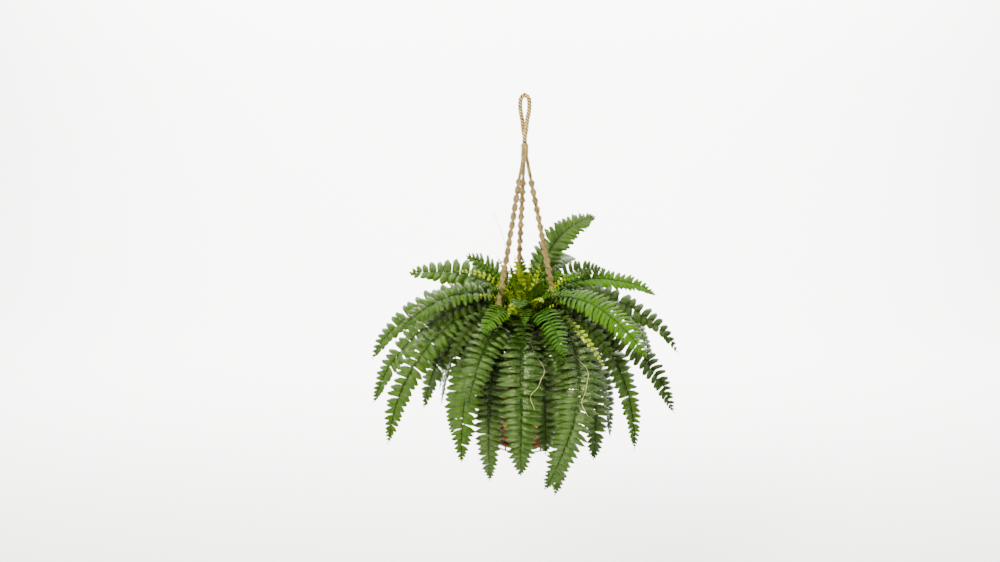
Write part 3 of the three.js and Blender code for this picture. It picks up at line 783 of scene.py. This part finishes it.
# Damp peat with bark: dark, rough, lighter specks of dry fibre and perlite.
peat, tree, out = new_finish("peat_and_bark")
coords = add_node(tree, "TexCoord")
lumps = add_node(
    tree, "TexNoise", inputs={"Vector": coords.outputs["Object"], "Scale": 260, "Detail": 8}
)
specks = add_node(tree, "TexVoronoi", inputs={"Vector": coords.outputs["Object"], "Scale": 320})
ramp = add_node(
    tree, "ValToRGB",
    inputs={"Fac": lumps.outputs["Fac"]},
    stops=[(0.35, "#1c120b"), (0.75, "#5d452f")],
)
relief = add_node(
    tree, "Bump", inputs={"Strength": 1.0, "Distance": 0.0015, "Height": specks.outputs[0]}
)
skin = add_node(
    tree, "BsdfPrincipled",
    inputs={"Base Color": ramp.outputs[0], "Roughness": 0.95, "Normal": relief.outputs[0]},
)
tree.links.new(skin.outputs[0], out.inputs[0])
mix = put_mesh("peat_mix", points, faces, peat, uv)
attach(mix, "root")
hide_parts("potting_mix")

# ---- Crown ----
# The fern's matted rhizome: a low mound of brown roots and old stem bases with some green moss.
CROWN_R = 62.0
crown_low = MIX_TOP_Z + 0.3


def mound(r):
    """Height of the crown's top at radius r, in straight lines between four radii."""
    return crown_low + np.interp(r, [0, 37, 60, CROWN_R], [21, 16.5, 6, 1])


crown_line = [[0, crown_low], [CROWN_R - 1, crown_low], [CROWN_R, crown_low + 1]]
crown_r = np.linspace(CROWN_R - 1, 1, 60)
crown_line = np.concatenate([crown_line, np.stack([crown_r, mound(crown_r)], 1), [[0, mound(0)]]])


def mat_roots(r, angle):
    """Tangled humps: warped sines at two scales, none on the under face and the edge."""
    x, y = r * np.cos(angle), r * np.sin(angle)
    hump = np.sin(x / 3.1 + 2.2 * np.sin(y / 4.7)) * np.sin(y / 3.3 + 1.9 * np.sin(x / 5.3))
    fine = np.sin(x / 1.1 + np.sin(y)) * np.sin(y / 1.3)
    lower = np.arange(len(r))[:, None] < 3  # the under face and the edge
    return np.where(lower | (r > CROWN_R - 2), 0.0, 0.9 * hump + 0.35 * fine - 0.8)


# Root hairs stand off a spiral line over the mound.
hair_turn = np.linspace(0, 18 * np.pi, 600)
hair_r = np.linspace(60, 5, 600)
hair_line = [hair_r * np.cos(hair_turn), hair_r * np.sin(hair_turn), mound(hair_r) - 0.8]
hair_line = np.stack(hair_line, 1)
hairs = fuzz(hair_line, 0.6, 900, 11.0, np.random.default_rng(13))
points, faces, uv = join([turned_profile(crown_line, 160, mat_roots), hairs])
# Fibrous root mat: dry brown hair with patches of moss.
root_mat, tree, out = new_finish("root_mat_and_moss")
coords = add_node(tree, "TexCoord")
hair = add_node(
    tree, "TexNoise", inputs={"Vector": coords.outputs["Object"], "Scale": 420, "Detail": 8}
)
moss = add_node(
    tree, "TexNoise", inputs={"Vector": coords.outputs["Object"], "Scale": 38, "Detail": 4}
)
brown = add_node(
    tree, "ValToRGB",
    inputs={"Fac": hair.outputs["Fac"]},
    stops=[(0.3, "#2a1a0e"), (0.75, "#7a5a34")],
)
green = add_node(
    tree, "ValToRGB", inputs={"Fac": hair.outputs["Fac"]}, stops=[(0, "#1d2c0b"), (1, "#5d7a26")]
)
where = add_node(tree, "MapRange", inputs={"Value": moss.outputs["Fac"], 1: 0.42, 2: 0.58})
both = add_node(
    tree, "Mix",
    {"data_type": "RGBA"},
    {"Factor": where.outputs[0], 6: brown.outputs[0], 7: green.outputs[0]},
)
relief = add_node(
    tree, "Bump", inputs={"Strength": 1.0, "Distance": 0.001, "Height": hair.outputs["Fac"]}
)
skin = add_node(
    tree, "BsdfPrincipled",
    inputs={"Base Color": both.outputs[2], "Roughness": 0.95, "Normal": relief.outputs[0]},
)
tree.links.new(skin.outputs[0], out.inputs[0])
crown = put_mesh("root_crown", points, faces, root_mat, uv)
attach(crown, "root")
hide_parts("crown")

# ---- Fronds ----
# Each frond is a round stem that becomes the rib of an arched blade. Leaflets stand on both
# sides of the rib like the teeth of a comb, each one a thin curved leaf with a toothed edge.
# Layer 0 hangs close round the basket and layer 1 stands up in the middle.
ROOT = -18.0
ARCHES = np.array([
    [[52, ROOT], [58, 26], [86, 52], [117, 12], [130, -70], [133, -155], [129, -245]],
    [[42, ROOT], [49, 45], [86, 80], [142, 42], [178, -45], [192, -140], [190, -235]],
    [[32, ROOT], [39, 62], [84, 106], [154, 84], [220, 18], [268, -68], [291, -160]],
    [[22, ROOT], [28, 82], [76, 138], [152, 142], [226, 108], [288, 50], [325, -30]],
    [[14, ROOT], [18, 100], [42, 178], [90, 226], [152, 248], [214, 244], [272, 212]],
    [[9, ROOT], [12, 90], [22, 180], [38, 260], [58, 330], [86, 390], [124, 440]],
])
STEM_R = 1.6
ROLL = 48.0
BLADE_END = 0.985
# Azimuth, layer, share of the arch covered, turn to the side in degrees and rise in layer towards
# the tip, widest half width and pitch of its leaflets in mm, and kind of leaf.
FRONDS = [
    (-158, 0.54, 1, 4, 0, 30, 13, "close"),
    (-153.5, 0.12, 0.82, 0, 0, 26, 12, "close"),
    (-133, 0.24, 0.88, 4, 0, 33, 12, "close"),
    (-119, 0.42, 0.74, 0, 0, 33, 12, "glossy"),
    (-121, 0.05, 0.94, 3, 0, 32, 12, "glossy"),
    (-92.5, 0.27, 0.9, 0, 0, 43, 12.5, "glossy"),
    (-74, 0.05, 0.84, 0, 0, 30, 12.5, "glossy"),
    (-70, 0.58, 0.64, 0, 0, 26, 10, "mid"),
    (-39, 0.36, 0.97, -46, 0, 40, 12, "glossy"),
    (-53, 0.14, 0.99, -17, 0, 30, 12, "glossy"),
    (-31, 0.23, 0.88, -18, 0, 33, 12, "glossy"),
    (-3, 0.37, 0.93, -22, 0, 27, 12, "close"),
    (-117, 0.6, 0.56, 0, 0, 24, 9, "bright"),
    (-175, 0.56, 0.99, 0, 0.07, 29, 13.5, "open"),
    (178, 0.69, 0.93, 0, 0.05, 29, 15, "open"),
    (163, 0.8, 0.86, 0, 0.14, 33, 17, "open"),
    (-178, 0.3, 0.8, 0, 0, 29, 12.5, "close"),
    (-159, 0.76, 0.76, 0, 0, 26, 12, "close"),
    (-12, 0.52, 1, 0, 0.1, 30, 13, "shade"),
    (0, 0.69, 1, 0, 0.1, 26, 17, "shade"),
    (15, 0.77, 0.98, 0, 0.13, 25, 11, "bright"),
    (-37, 0.74, 0.83, 0, 0, 30, 9, "bright"),
    (24, 0.69, 0.95, 0, 0, 28, 13, "comb"),
    (10, 0.22, 0.9, 0, 0, 28, 12.5, "shade"),
    (-67, 0.89, 0.42, 0, 0, 21, 9, "bright"),
    (-4, 0.92, 0.42, 0, 0, 15, 9, "bright"),
    (26, 0.45, 0.95, 0, 0, 29, 13, "shade"),
    (36, 1.054, 0.84, 0, 0, 32, 10.5, "comb"),
    (48, 0.2, 0.95, 0, 0, 28, 13, "glossy"),
    (14.7, 0.883, 0.62, 0, -0.06, 24, 10, "shade"),
    (64, 0.6, 0.96, 0, 0, 29, 13, "close"),
    (80, 0.32, 0.9, 0, 0, 28, 13, "glossy"),
    (117, 0.74, 0.96, 0, 0, 28, 13, "close"),
    (115, 0.18, 0.95, 0, 0, 28, 13, "glossy"),
    (130, 0.5, 0.95, 0, 0, 29, 13, "close"),
    (176, 0.945, 0.54, 0, 0, 28, 12, "comb"),
    (150, 0.28, 0.84, 0, 0, 28, 13, "close"),
    (152, 0.66, 0.96, 0, 0, 28, 13, "close"),
    (56, 0.88, 0.72, 0, 0, 27, 13, "close"),
    (-95, 0.74, 0.5, 0, 0, 22, 10, "mid"),
]


def arch_line(layer, u):
    """Radius and height over the rim along a layer's arch, at shares u of its length.

    Each row is a Catmull-Rom curve through its points, and the layer mixes its two nearest rows,
    which are a quarter of a layer apart.
    """
    place = np.broadcast_to(np.clip(layer, 0, 1.25) * 4, u.shape)
    low = np.minimum(place.astype(int), len(ARCHES) - 2)
    p = u * (ARCHES.shape[1] - 1)
    i = np.floor(p).astype(int)
    t = (p - i)[:, None]

    def curve(row):
        last = ARCHES.shape[1] - 1
        p0, p1 = ARCHES[row, np.maximum(i - 1, 0)], ARCHES[row, np.minimum(i, last)]
        p2, p3 = ARCHES[row, np.minimum(i + 1, last)], ARCHES[row, np.minimum(i + 2, last)]
        m1, m2 = (p2 - p0) / 2, (p3 - p1) / 2
        bend = (2 * p1 - 2 * p2 + m1 + m2) * t**3 + (-3 * p1 + 3 * p2 - 2 * m1 - m2) * t**2
        return bend + m1 * t + p1

    share = (place - low)[:, None]
    return curve(low) * (1 - share) + curve(low + 1) * share


class Rib:
    """The line of a stem and rib, and its local axes at any share of its length.

    It lies on the arch of its layer, and turns aside and changes layer by the square of its share
    of the arch. Its blade starts at the share start.
    """

    def __init__(self, deg, layer, reach, turn, rise, start):
        u = np.linspace(0, reach, 500)
        r, h = arch_line(layer + rise * u * u, u).T
        a = np.radians(deg + turn * u * u)
        line = np.stack([r * np.cos(a), r * np.sin(a), RIM_Z + h], 1)
        self.length = np.linalg.norm(np.diff(line, axis=0), axis=1).sum()
        self.line = even_path(line, 500)
        self.slope = unit(np.gradient(self.line, axis=0))
        self.roll, self.start = ROLL * math.cos(math.radians(deg)), start

    def axes(self, s):
        """Place, along, across and up at shares s: across is level, then the blade is rolled.

        The roll shows the blade's upper side to the front, and is ROLL times the cosine of the
        azimuth. It eases in round the first leaflets by the smooth step 3x^2 - 2x^3.
        """
        s = np.asarray(s, float)
        grid = np.linspace(0, 1, len(self.line))
        at = np.stack([np.interp(s, grid, self.line[:, c]) for c in range(3)], -1)
        along = unit(np.stack([np.interp(s, grid, self.slope[:, c]) for c in range(3)], -1))
        out_way = unit(at * (1, 1, 0))
        rise = np.sum(along * out_way, -1, keepdims=True)
        up = unit(-out_way * along[..., 2:] + np.array([0, 0, 1.0]) * rise)
        across = np.cross(along, up)
        x = np.clip((s - self.start * 0.6) / (self.start * 0.4 + 0.3), 0, 1)
        turn = np.radians(self.roll) * x * x * (3 - 2 * x)
        c, d = np.cos(turn)[..., None], np.sin(turn)[..., None]
        return at, along, across * c + np.cross(along, across) * d, up * c + np.cross(along, up) * d


def blade_width(t, half):
    """Half width along the blade: it opens over its first third and runs out to a point."""
    opening = 0.5 + 0.5 * np.sin(np.minimum(1, t / 0.35) * np.pi / 2)
    return half * opening * np.maximum(1 - t**3.2, 0) ** 0.75


# A leaflet's points: rows along it and columns across it. Its under side is one strip that
# shares the border, and both ends are closed by a fan.
LEAF_ROWS, LEAF_COLUMNS = 11, 5
LEAF_POINTS = LEAF_ROWS * LEAF_COLUMNS
near = np.arange(LEAF_ROWS - 1) * LEAF_COLUMNS
far = near + LEAF_COLUMNS - 1
under_quads = np.stack([near, near + LEAF_COLUMNS, far + LEAF_COLUMNS, far], 1)
leaf_quads = np.concatenate([grid_faces(LEAF_ROWS, LEAF_COLUMNS), under_quads])
fan = np.array([[0, 1, 2], [0, 2, 3], [0, 3, 4]])
leaf_ends = np.concatenate([fan[:, ::-1], fan + LEAF_POINTS - LEAF_COLUMNS])
quad_is_under = np.repeat([0.0, 1.0], [len(leaf_quads) - len(under_quads), len(under_quads)])


def leaflets(
    rib, s, side, length, half, rng, *,
    end=0.5, neck=0.95, lobes=0.05, teeth=0.10, lean=0.09, sag=420.0, blunt=0.05,
):
    """Leaflets at shares s of a rib, one a row: points, quads, triangles, UVs and marks.

    Across a leaflet x runs -1 to 1 and along it v runs 0 to 1. Its half width is half times
    end + (1 - end) (1 - v^2.6)^0.7, starts at its neck's share of that, and is notched by teeth
    on every other row. Its outer edge is cut into lobes, each a share of the length, and drawn
    back by blunt at its corners. Its middle line leans towards the tip by lean times its length
    as v^1.3, and the last leaflets lean more, by 0.3 s^5. It droops by the square of its reach
    over sag, rises in between by the sine of v and curls up or down by v^2. It is arched across
    by x^2 with a sunk middle line, and tilted so that each leaflet lies over the next.
    """
    count = len(s)
    at, along, across, up = rib.axes(s)
    v = np.linspace(0, 1, LEAF_ROWS)[None, :, None]
    x = np.linspace(-1, 1, LEAF_COLUMNS)[None, None, :]
    length = length[:, None, None] * rng.uniform(0.93, 1.08, (count, 1, 1))
    half = half[:, None, None] * rng.uniform(0.90, 1.08, (count, 1, 1))
    notch = 1 - teeth * (np.arange(LEAF_ROWS) % 2)[None, :, None] * (v > 0.3)
    taper = end + (1 - end) * np.maximum(1 - v**2.6, 0.0) ** 0.7
    wide = half * (neck + (1 - neck) * np.minimum(v / 0.25, 1)) * taper * notch
    cut = np.array([-1.5, 0.2, 0.5, 0.1, -1.8]) + rng.uniform(-0.5, 0.5, (count, 1, LEAF_COLUMNS))
    reach = length * (v + lobes * cut * v**7 - blunt * x * x * v**3)
    slant = lean + rng.uniform(-0.07, 0.07, (count, 1, 1)) + 0.3 * s[:, None, None] ** 5
    onward = x * wide + slant * length * v**1.3 + 0.15 * half * v**4
    tilt = rng.uniform(0.14, 0.56, (count, 1, 1))
    curl = rng.uniform(-0.13, 0.08, (count, 1, 1))
    high = length * (0.12 * np.sin(np.pi * v * 0.9) + curl * v**2)
    high = high - reach**2 / sag - 0.50 * wide * x * x + tilt * wide * x * np.minimum(v / 0.15, 1)
    high = high - 0.12 * half * np.exp(-((x / 0.35) ** 2)) * (1 - v)
    points = at[:, None, None] + across[:, None, None] * (side * reach)[..., None]
    points = points + along[:, None, None] * onward[..., None] + up[:, None, None] * high[..., None]
    uv = np.stack(np.broadcast_arrays((x + 1) / 2, v, high)[:2], -1)
    luck = rng.uniform(0, 1, (count, 1, 1))
    marks = np.stack(np.broadcast_arrays(luck, s[:, None, None], 0 * high), -1)
    first = (np.arange(count) * LEAF_POINTS)[:, None, None]
    turn_way = slice(None, None, -1) if side > 0 else slice(None)
    quads = (leaf_quads[:, turn_way] + first).reshape(-1, 4)
    ends = (leaf_ends[:, turn_way] + first).reshape(-1, 3)
    return points.reshape(-1, 3), quads, ends, uv.reshape(-1, 2), marks.reshape(-1, 3)


def blade(rib, half, rng, pitch, fill, low=0.10, **shape):
    """A whole frond: the rib's tube with leaflets in pairs all along it.

    fill is a leaflet's half width as a share of the pitch, over 0.5 where leaflets overlap. The
    leaflets begin short, at low before the blade's start, and close up towards its end: pair x
    of 0 to 1 stands at 1 - (1 - x)^1.35 of the blade.
    Returns points, quads, triangles, UVs, marks and the blue mark of each quad and triangle.
    """
    begin = max(rib.start - low, 0.08)
    span = BLADE_END - begin
    pairs = max(5, round(rib.length * span / pitch))
    x = (np.arange(pairs) + 0.5) / pairs
    s = begin + span * (1 - (1 - x) ** 1.35)
    gap = 1.35 * span * rib.length * (1 - x) ** 0.35 / pairs
    along_blade = (s - rib.start) / (BLADE_END - rib.start)
    wide = 1.06 * blade_width(np.maximum(along_blade, 0), half)
    wide = wide * (0.55 + 0.45 * np.clip((s - begin) / (1.6 * low), 0, 1))
    leaf_half = np.minimum(gap * fill, 0.45 * wide + 0.8)
    parts, unders = [], []
    for side in (-1, 1):
        jitter = rng.uniform(-0.15, 0.15, pairs) * gap / rib.length
        parts.append(leaflets(rib, s + jitter, side, wide, leaf_half, rng, **shape))
        unders.append(np.tile(quad_is_under, pairs))
    steps = max(24, int(rib.length / 5))
    shares = np.linspace(0, 0.995, steps)
    at, along, across, up = rib.axes(shares)
    stem = np.interp(shares, [0, rib.start, 1], [STEM_R, STEM_R * 0.9, 0.45])
    flat = np.interp(shares, [0, rib.start, rib.start + 0.1], [1, 1, 0.75])
    sides = 8
    angle = 2 * np.pi * np.arange(sides) / sides
    ring = at[:, None] + across[:, None] * (stem[:, None] * np.cos(angle))[..., None]
    ring = ring + up[:, None] * ((stem * flat)[:, None] * np.sin(angle) + 0.15)[..., None]
    tube_faces = grid_faces(steps, sides, wrap_columns=True)[:, ::-1]
    j = np.arange(sides - 1, 1, -1)
    cap = np.stack([0 * j, j, j - 1], 1)
    caps = np.concatenate([cap[:, ::-1], cap + (steps - 1) * sides])
    marks = np.stack(np.broadcast_arrays(2.0, shares[:, None], 0 * angle), -1).reshape(-1, 3)
    uv = np.stack(np.broadcast_arrays(angle / 6.3, shares[:, None] * 10), -1).reshape(-1, 2)
    parts.append((ring.reshape(-1, 3), tube_faces, caps, uv, marks))
    unders.append(np.zeros(len(tube_faces)))
    return (*gather(parts), np.concatenate(unders))


def gather(parts):
    """Several shapes of points, quads, triangles, UVs and marks as one."""
    first = np.cumsum([0] + [len(p[0]) for p in parts])
    quads = np.concatenate([p[1] + n for p, n in zip(parts, first)])
    triangles = np.concatenate([p[2] + n for p, n in zip(parts, first)])
    points, uvs, marks = (np.concatenate([p[k] for p in parts]) for k in (0, 3, 4))
    return points, quads, triangles, uvs, marks


def put_leaves(name, shoots, finish):
    """One object of several shoots, each as blade gives it."""
    points, quads, triangles, uvs, marks = gather(shoots)
    under = np.concatenate([shoot[5] for shoot in shoots] + [np.zeros(len(triangles))])
    return put_mesh(name, points, [quads, triangles], finish, uvs, marks, under, crease=75)


def leaf_finish(name, deep, fresh, pale, rib_code, rough, gloss):
    """Thin waxy leaf: deep colour near the stem, fresher towards the tip, paler underneath.

    The marks give each leaflet's own shade, its place along the frond and its under side.
    """
    made, tree, out = new_finish(name)
    coords = add_node(tree, "TexCoord")
    given = add_node(tree, "VertexColor", {"layer_name": "marks"})
    marks = add_node(tree, "SeparateColor", inputs={0: given.outputs["Color"]})
    cloud = add_node(
        tree, "TexNoise", inputs={"Vector": coords.outputs["Object"], "Scale": 60, "Detail": 4}
    )
    uv = add_node(tree, "SeparateXYZ", inputs={0: coords.outputs["UV"]})
    tip = add_node(
        tree, "MapRange", inputs={"Value": marks.outputs[1], 1: 0.35, 2: 1.0, 3: 0.0, 4: 0.75}
    )
    edge = add_node(
        tree, "Math", {"operation": "MULTIPLY_ADD"}, {0: uv.outputs[1], 1: 0.3, 2: tip.outputs[0]}
    )
    luck = add_node(
        tree, "Math",
        {"operation": "MULTIPLY_ADD"},
        {0: marks.outputs[0], 1: 0.22, 2: edge.outputs[0]},
    )
    patchy = add_node(
        tree, "Math",
        {"operation": "MULTIPLY_ADD", "use_clamp": True},
        {0: cloud.outputs["Fac"], 1: 0.7, 2: luck.outputs[0]},
    )
    spread = add_node(tree, "MapRange", inputs={"Value": patchy.outputs[0], 1: 0.3, 2: 1.0})
    top = add_node(
        tree, "Mix",
        {"data_type": "RGBA"},
        {"Factor": spread.outputs[0], 6: paint(deep), 7: paint(fresh)},
    )
    both = add_node(
        tree, "Mix",
        {"data_type": "RGBA"},
        {"Factor": marks.outputs[2], 6: top.outputs[2], 7: paint(pale)},
    )
    middle = add_node(tree, "Math", {"operation": "SUBTRACT"}, {0: uv.outputs[0], 1: 0.5})
    away = add_node(tree, "Math", {"operation": "ABSOLUTE"}, {0: middle.outputs[0]})
    vein = add_node(
        tree, "MapRange",
        {"interpolation_type": "SMOOTHSTEP"},
        {"Value": away.outputs[0], 1: 0.0, 2: 0.07, 3: 0.55, 4: 0.0},
    )
    is_rib = add_node(tree, "Math", {"operation": "GREATER_THAN"}, {0: marks.outputs[0], 1: 1.5})
    lines = add_node(
        tree, "Math", {"operation": "MAXIMUM"}, {0: vein.outputs[0], 1: is_rib.outputs[0]}
    )
    final = add_node(
        tree, "Mix",
        {"data_type": "RGBA"},
        {"Factor": lines.outputs[0], 6: both.outputs[2], 7: paint(rib_code)},
    )
    slant = add_node(
        tree, "Math", {"operation": "MULTIPLY_ADD"}, {0: away.outputs[0], 1: -0.7, 2: uv.outputs[1]}
    )
    stripes = add_node(tree, "Math", {"operation": "MULTIPLY"}, {0: slant.outputs[0], 1: 62.0})
    side_veins = add_node(tree, "Math", {"operation": "SINE"}, {0: stripes.outputs[0]})
    apart = add_node(
        tree, "VectorMath",
        {"operation": "MULTIPLY_ADD"},
        {0: given.outputs["Color"], 1: (61, 47, 0), 2: coords.outputs["UV"]},
    )
    long_way = add_node(tree, "Mapping", inputs={"Vector": apart.outputs[0], "Scale": (5, 1.3, 1)})
    creases = add_node(
        tree, "TexNoise", inputs={"Vector": long_way.outputs[0], "Scale": 1.0, "Detail": 3}
    )
    veined = add_node(
        tree, "Math",
        {"operation": "MULTIPLY_ADD"},
        {0: side_veins.outputs[0], 1: 0.10, 2: creases.outputs["Fac"]},
    )
    bumps = add_node(
        tree, "Math",
        {"operation": "MULTIPLY_ADD"},
        {0: cloud.outputs["Fac"], 1: 0.3, 2: veined.outputs[0]},
    )
    relief = add_node(
        tree, "Bump", inputs={"Strength": 0.7, "Distance": 0.0023, "Height": bumps.outputs[0]}
    )
    skin = add_node(
        tree, "BsdfPrincipled",
        inputs={
            "Base Color": final.outputs[2], "Roughness": rough, "Specular IOR Level": gloss,
            "Specular Tint": paint("#e6ffb8"), "Normal": relief.outputs[0],
        },
    )
    tree.links.new(skin.outputs[0], out.inputs[0])
    return made


# Glossy leaf is old and waxy. Close, comb and open leaf is a lighter green painted in as sunlight
# falling on it, with leaflets side by side, cut square and leant forward, or well apart. Shade leaf
# is dull, with a darker green painted in as shade. Mid leaf is half grown, and bright leaf is new
# growth with its leaflets close together.
sunlit = leaf_finish("sunlit_dark_leaf", "#0a2200", "#2e4d00", "#34420a", "#183002", 0.25, 0.54)
KINDS = {
    # kind: slot, finish, leaflet shape
    "glossy": (
        "leaf_dark",
        leaf_finish("waxy_dark_leaf", "#061a00", "#244200", "#2a3808", "#122c04", 0.21, 0.80),
        {"fill": 0.60, "end": 0.36, "lobes": 0.07, "teeth": 0.14},
    ),
    "close": (
        "leaf_dark",
        sunlit,
        {"fill": 0.57, "end": 0.50, "lobes": 0.06, "teeth": 0.12, "blunt": 0.08},
    ),
    "comb": (
        "leaf_dark",
        sunlit,
        {"fill": 0.60, "end": 0.62, "lobes": 0.04, "blunt": 0.14, "lean": 0.26},
    ),
    "open": (
        "leaf_dark",
        sunlit,
        {"fill": 0.51, "end": 0.72, "lobes": 0.045, "teeth": 0.06, "blunt": 0.13},
    ),
    # Shade leaf: its darker green is painted shade.
    "shade": (
        "leaf_dark",
        leaf_finish("dull_shade_leaf", "#091800", "#223a00", "#283608", "#122002", 0.34, 0.32),
        {"fill": 0.45, "end": 0.74, "lobes": 0.05, "teeth": 0.06, "blunt": 0.12},
    ),
    "mid": (
        "leaf_mid",
        leaf_finish("waxy_mid_leaf", "#103000", "#305c00", "#3c560a", "#1a3c02", 0.36, 0.34),
        {"fill": 0.50, "end": 0.20, "lobes": 0.04, "teeth": 0.12, "lean": 0.30},
    ),
    "bright": (
        "leaf_bright",
        leaf_finish("young_bright_leaf", "#1a4400", "#406a00", "#466004", "#2a5002", 0.34, 0.26),
        {
            "fill": 0.54, "end": 0.40, "neck": 1.2, "lobes": 0.05,
            "teeth": 0.10, "lean": 0.34, "blunt": 0.08,
        },
    ),
}
for number, (deg, layer, reach, turn, rise, half, pitch, kind) in enumerate(FRONDS, 1):
    node = f"frond_{number:02d}"
    slot_name, finish, shape = KINDS[kind]
    rib = Rib(deg, layer, reach, turn, rise, 0.23 + 0.19 * layer)
    shoot = blade(rib, half, np.random.default_rng(100 + number), pitch, **shape)
    piece = put_leaves("fern_" + node, [shoot], finish)
    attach(piece, "root")
    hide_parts(node)

# ---- Inner fronds ----
# Short fronds still growing in the heart of the plant, which hide the crown from every side. The
# lower ones are dull, with a darker green painted in as the shade under the canopy, and the upper
# ones are young and light.
inner_leaf = {"end": 0.4, "lobes": 0.06, "teeth": 0.12}
heart = {"shade": [], "bright": []}
SPIRAL = 42
FILLERS = [
    # azimuth and layer of the dull ones, with painted shade, that fill in behind the side fronds
    (-172, 0.50), (170, 0.44), (-160, 0.62), (158, 0.60), (-185, 0.66), (-8, 0.46), (8, 0.58),
    (-20, 0.62), (20, 0.40), (-140, 0.50), (-150, 0.36), (-30, 0.44),
]
for number in range(SPIRAL + len(FILLERS)):
    rng = np.random.default_rng(500 + number)
    if number < SPIRAL:
        deg = 137.5 * number + rng.uniform(-12, 12)
        layer = 0.05 + 0.98 * (number / SPIRAL) ** 0.9
        kind = "bright" if layer > 0.56 else "shade"
        reach = rng.uniform(0.36, 0.52) + 0.14 * (layer < 0.5)
    else:
        deg, layer = FILLERS[number - SPIRAL]
        kind, reach = "shade", 0.64
    rib = Rib(deg, layer, reach, rng.uniform(-16, 16), 0, 0.22)
    half, pitch = (rng.uniform(20, 26), 14.5) if kind == "shade" else (rng.uniform(12, 18), 10.5)
    heart[kind].append(blade(rib, half, rng, pitch, 0.52, **inner_leaf))
for kind, name in (("shade", "inner_fronds"), ("bright", "young_inner_fronds")):
    piece = put_leaves(name, heart[kind], KINDS[kind][1])
    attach(piece, "root")

# ---- Sprigs ----
# Young upright shoots in the middle of the plant, with short round leaflets of a yellower green.
SPRIGS = [
    # azimuth, layer and share of the arch covered
    (-98, 0.98, 0.46),
    (-38, 1.08, 0.4),
    (-143, 1.02, 0.34),
    (129.5, 1.233, 0.4),
    (69, 0.963, 0.42),
]
young = leaf_finish("yellow_green_shoot", "#5a8e00", "#a8c400", "#86940e", "#647008", 0.5, 0.3)
SHOOTS = [
    # degrees aside, change of layer, change of share, turn to the side
    (0, 0, 0, 0),
    (-22, -0.14, -0.02, 14),
    (26, -0.22, 0.02, -16),
    (58, -0.30, -0.04, 18),
    (-56, -0.26, 0.05, -14),
    (150, -0.20, 0.00, 12),
    (110, -0.10, -0.05, -12),
    (-100, -0.12, -0.03, 10),
]
round_leaf = {"end": 0.1, "neck": 0.25, "lobes": 0.0, "teeth": 0.05, "sag": 60.0, "blunt": 0.2}
for number, (deg, layer, reach) in enumerate(SPRIGS, 1):
    node = f"sprig_{number}"
    rng = np.random.default_rng(300 + number)
    shoots = []
    for aside, higher, longer, turn in SHOOTS:
        rib = Rib(deg + aside, layer + higher, reach + longer, turn, 0, 0.42)
        shoots.append(blade(rib, 10.0, rng, 11.0, 0.38, low=0.22, **round_leaf))
    piece = put_leaves("young_" + node, shoots, young)
    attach(piece, "root")
    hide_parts(node)

# ---- Trailing shoots ----
# Three thin young shoots that have bent over and hang out between the fronds.
TRAILING = [(-47, 0.50, 0.66), (-104, 0.70, 0.52), (-166, 0.9, 0.56)]
trailing = []
for number, (deg, layer, reach) in enumerate(TRAILING):
    rng = np.random.default_rng(340 + number)
    rib = Rib(deg, layer, reach, 8, -0.05, 0.34)
    trailing.append(blade(rib, 10.0, rng, 11.0, 0.40, **round_leaf))
piece = put_leaves("trailing_shoots", trailing, young)
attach(piece, "root")

# ---- Runners ----
# Bare wiry stems that wander out between the fronds. They are brown at the root and dry to a pale
# straw colour towards the tip.
RUNNERS = [
    # azimuth, layer, share of the arch covered, sway in degrees
    (-60, 0.48, 0.78, 5),
    (-83, 0.4, 0.72, 5),
    (188, 1.22, 0.62, 1),
]
RUNNER_KNOTS, RUNNER_STEPS, RUNNER_SIDES = 15, 120, 8
runner_stem, tree, out = new_finish("dry_runner_stem")
coords = add_node(tree, "TexCoord")
dry = add_node(
    tree, "TexNoise", inputs={"Vector": coords.outputs["Object"], "Scale": 150, "Detail": 5}
)
ramp = add_node(
    tree, "ValToRGB",
    inputs={"Fac": dry.outputs["Fac"]},
    stops=[(0.35, "#857a4a"), (0.7, "#cfc58c")],
)
place = add_node(tree, "SeparateXYZ", inputs={0: coords.outputs["UV"]})
age = add_node(
    tree, "MapRange", inputs={"Value": place.outputs[1], 1: 0.68, 2: 0.8, 3: 0.0, 4: 1.0}
)
both = add_node(
    tree, "Mix",
    {"data_type": "RGBA"},
    {"Factor": age.outputs[0], 6: paint("#2a2408"), 7: ramp.outputs[0]},
)
relief = add_node(
    tree, "Bump", inputs={"Strength": 0.4, "Distance": 0.0003, "Height": dry.outputs["Fac"]}
)
skin = add_node(
    tree, "BsdfPrincipled",
    inputs={"Base Color": both.outputs[2], "Roughness": 0.7, "Normal": relief.outputs[0]},
)
tree.links.new(skin.outputs[0], out.inputs[0])
for number, (deg, layer, reach, wave) in enumerate(RUNNERS, 1):
    node = f"runner_{number}"
    x, y, z = even_path(Rib(deg, layer, reach, 0, 0, 0.3).line, RUNNER_KNOTS).T
    k = np.arange(RUNNER_KNOTS)
    sway = np.radians(wave * np.sin(k * 1.3) * k / (RUNNER_KNOTS - 1))
    c, d = np.cos(sway), np.sin(sway)
    path = smooth_path(np.stack([x * c - y * d, x * d + y * c, z], 1), RUNNER_STEPS)
    k = np.arange(RUNNER_STEPS)[:, None]
    path = path + 0.9 * np.sin(k * (0.42, 0.33, 0.51) + number)
    thin = np.linspace(0.85, 0.45, RUNNER_STEPS)[:, None] * (1 + 0.12 * np.sin(k * 0.9))
    side_way = (-math.sin(math.radians(deg)), math.cos(math.radians(deg)), 0)
    points, faces, uv = carry(path, thin, side_way, RUNNER_SIDES)
    uv = uv / (1, uv[:, 1].max())
    piece = put_mesh("wiry_" + node, points, faces, runner_stem, uv)
    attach(piece, "root")
    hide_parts(node)

# ---- Size ----
# The box of the solids and the box of the finished pieces are kept side by side in size.
low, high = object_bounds()
size = {"cad": [list(cad_low), list(cad_high)], "visual": [list(low), list(high)]}
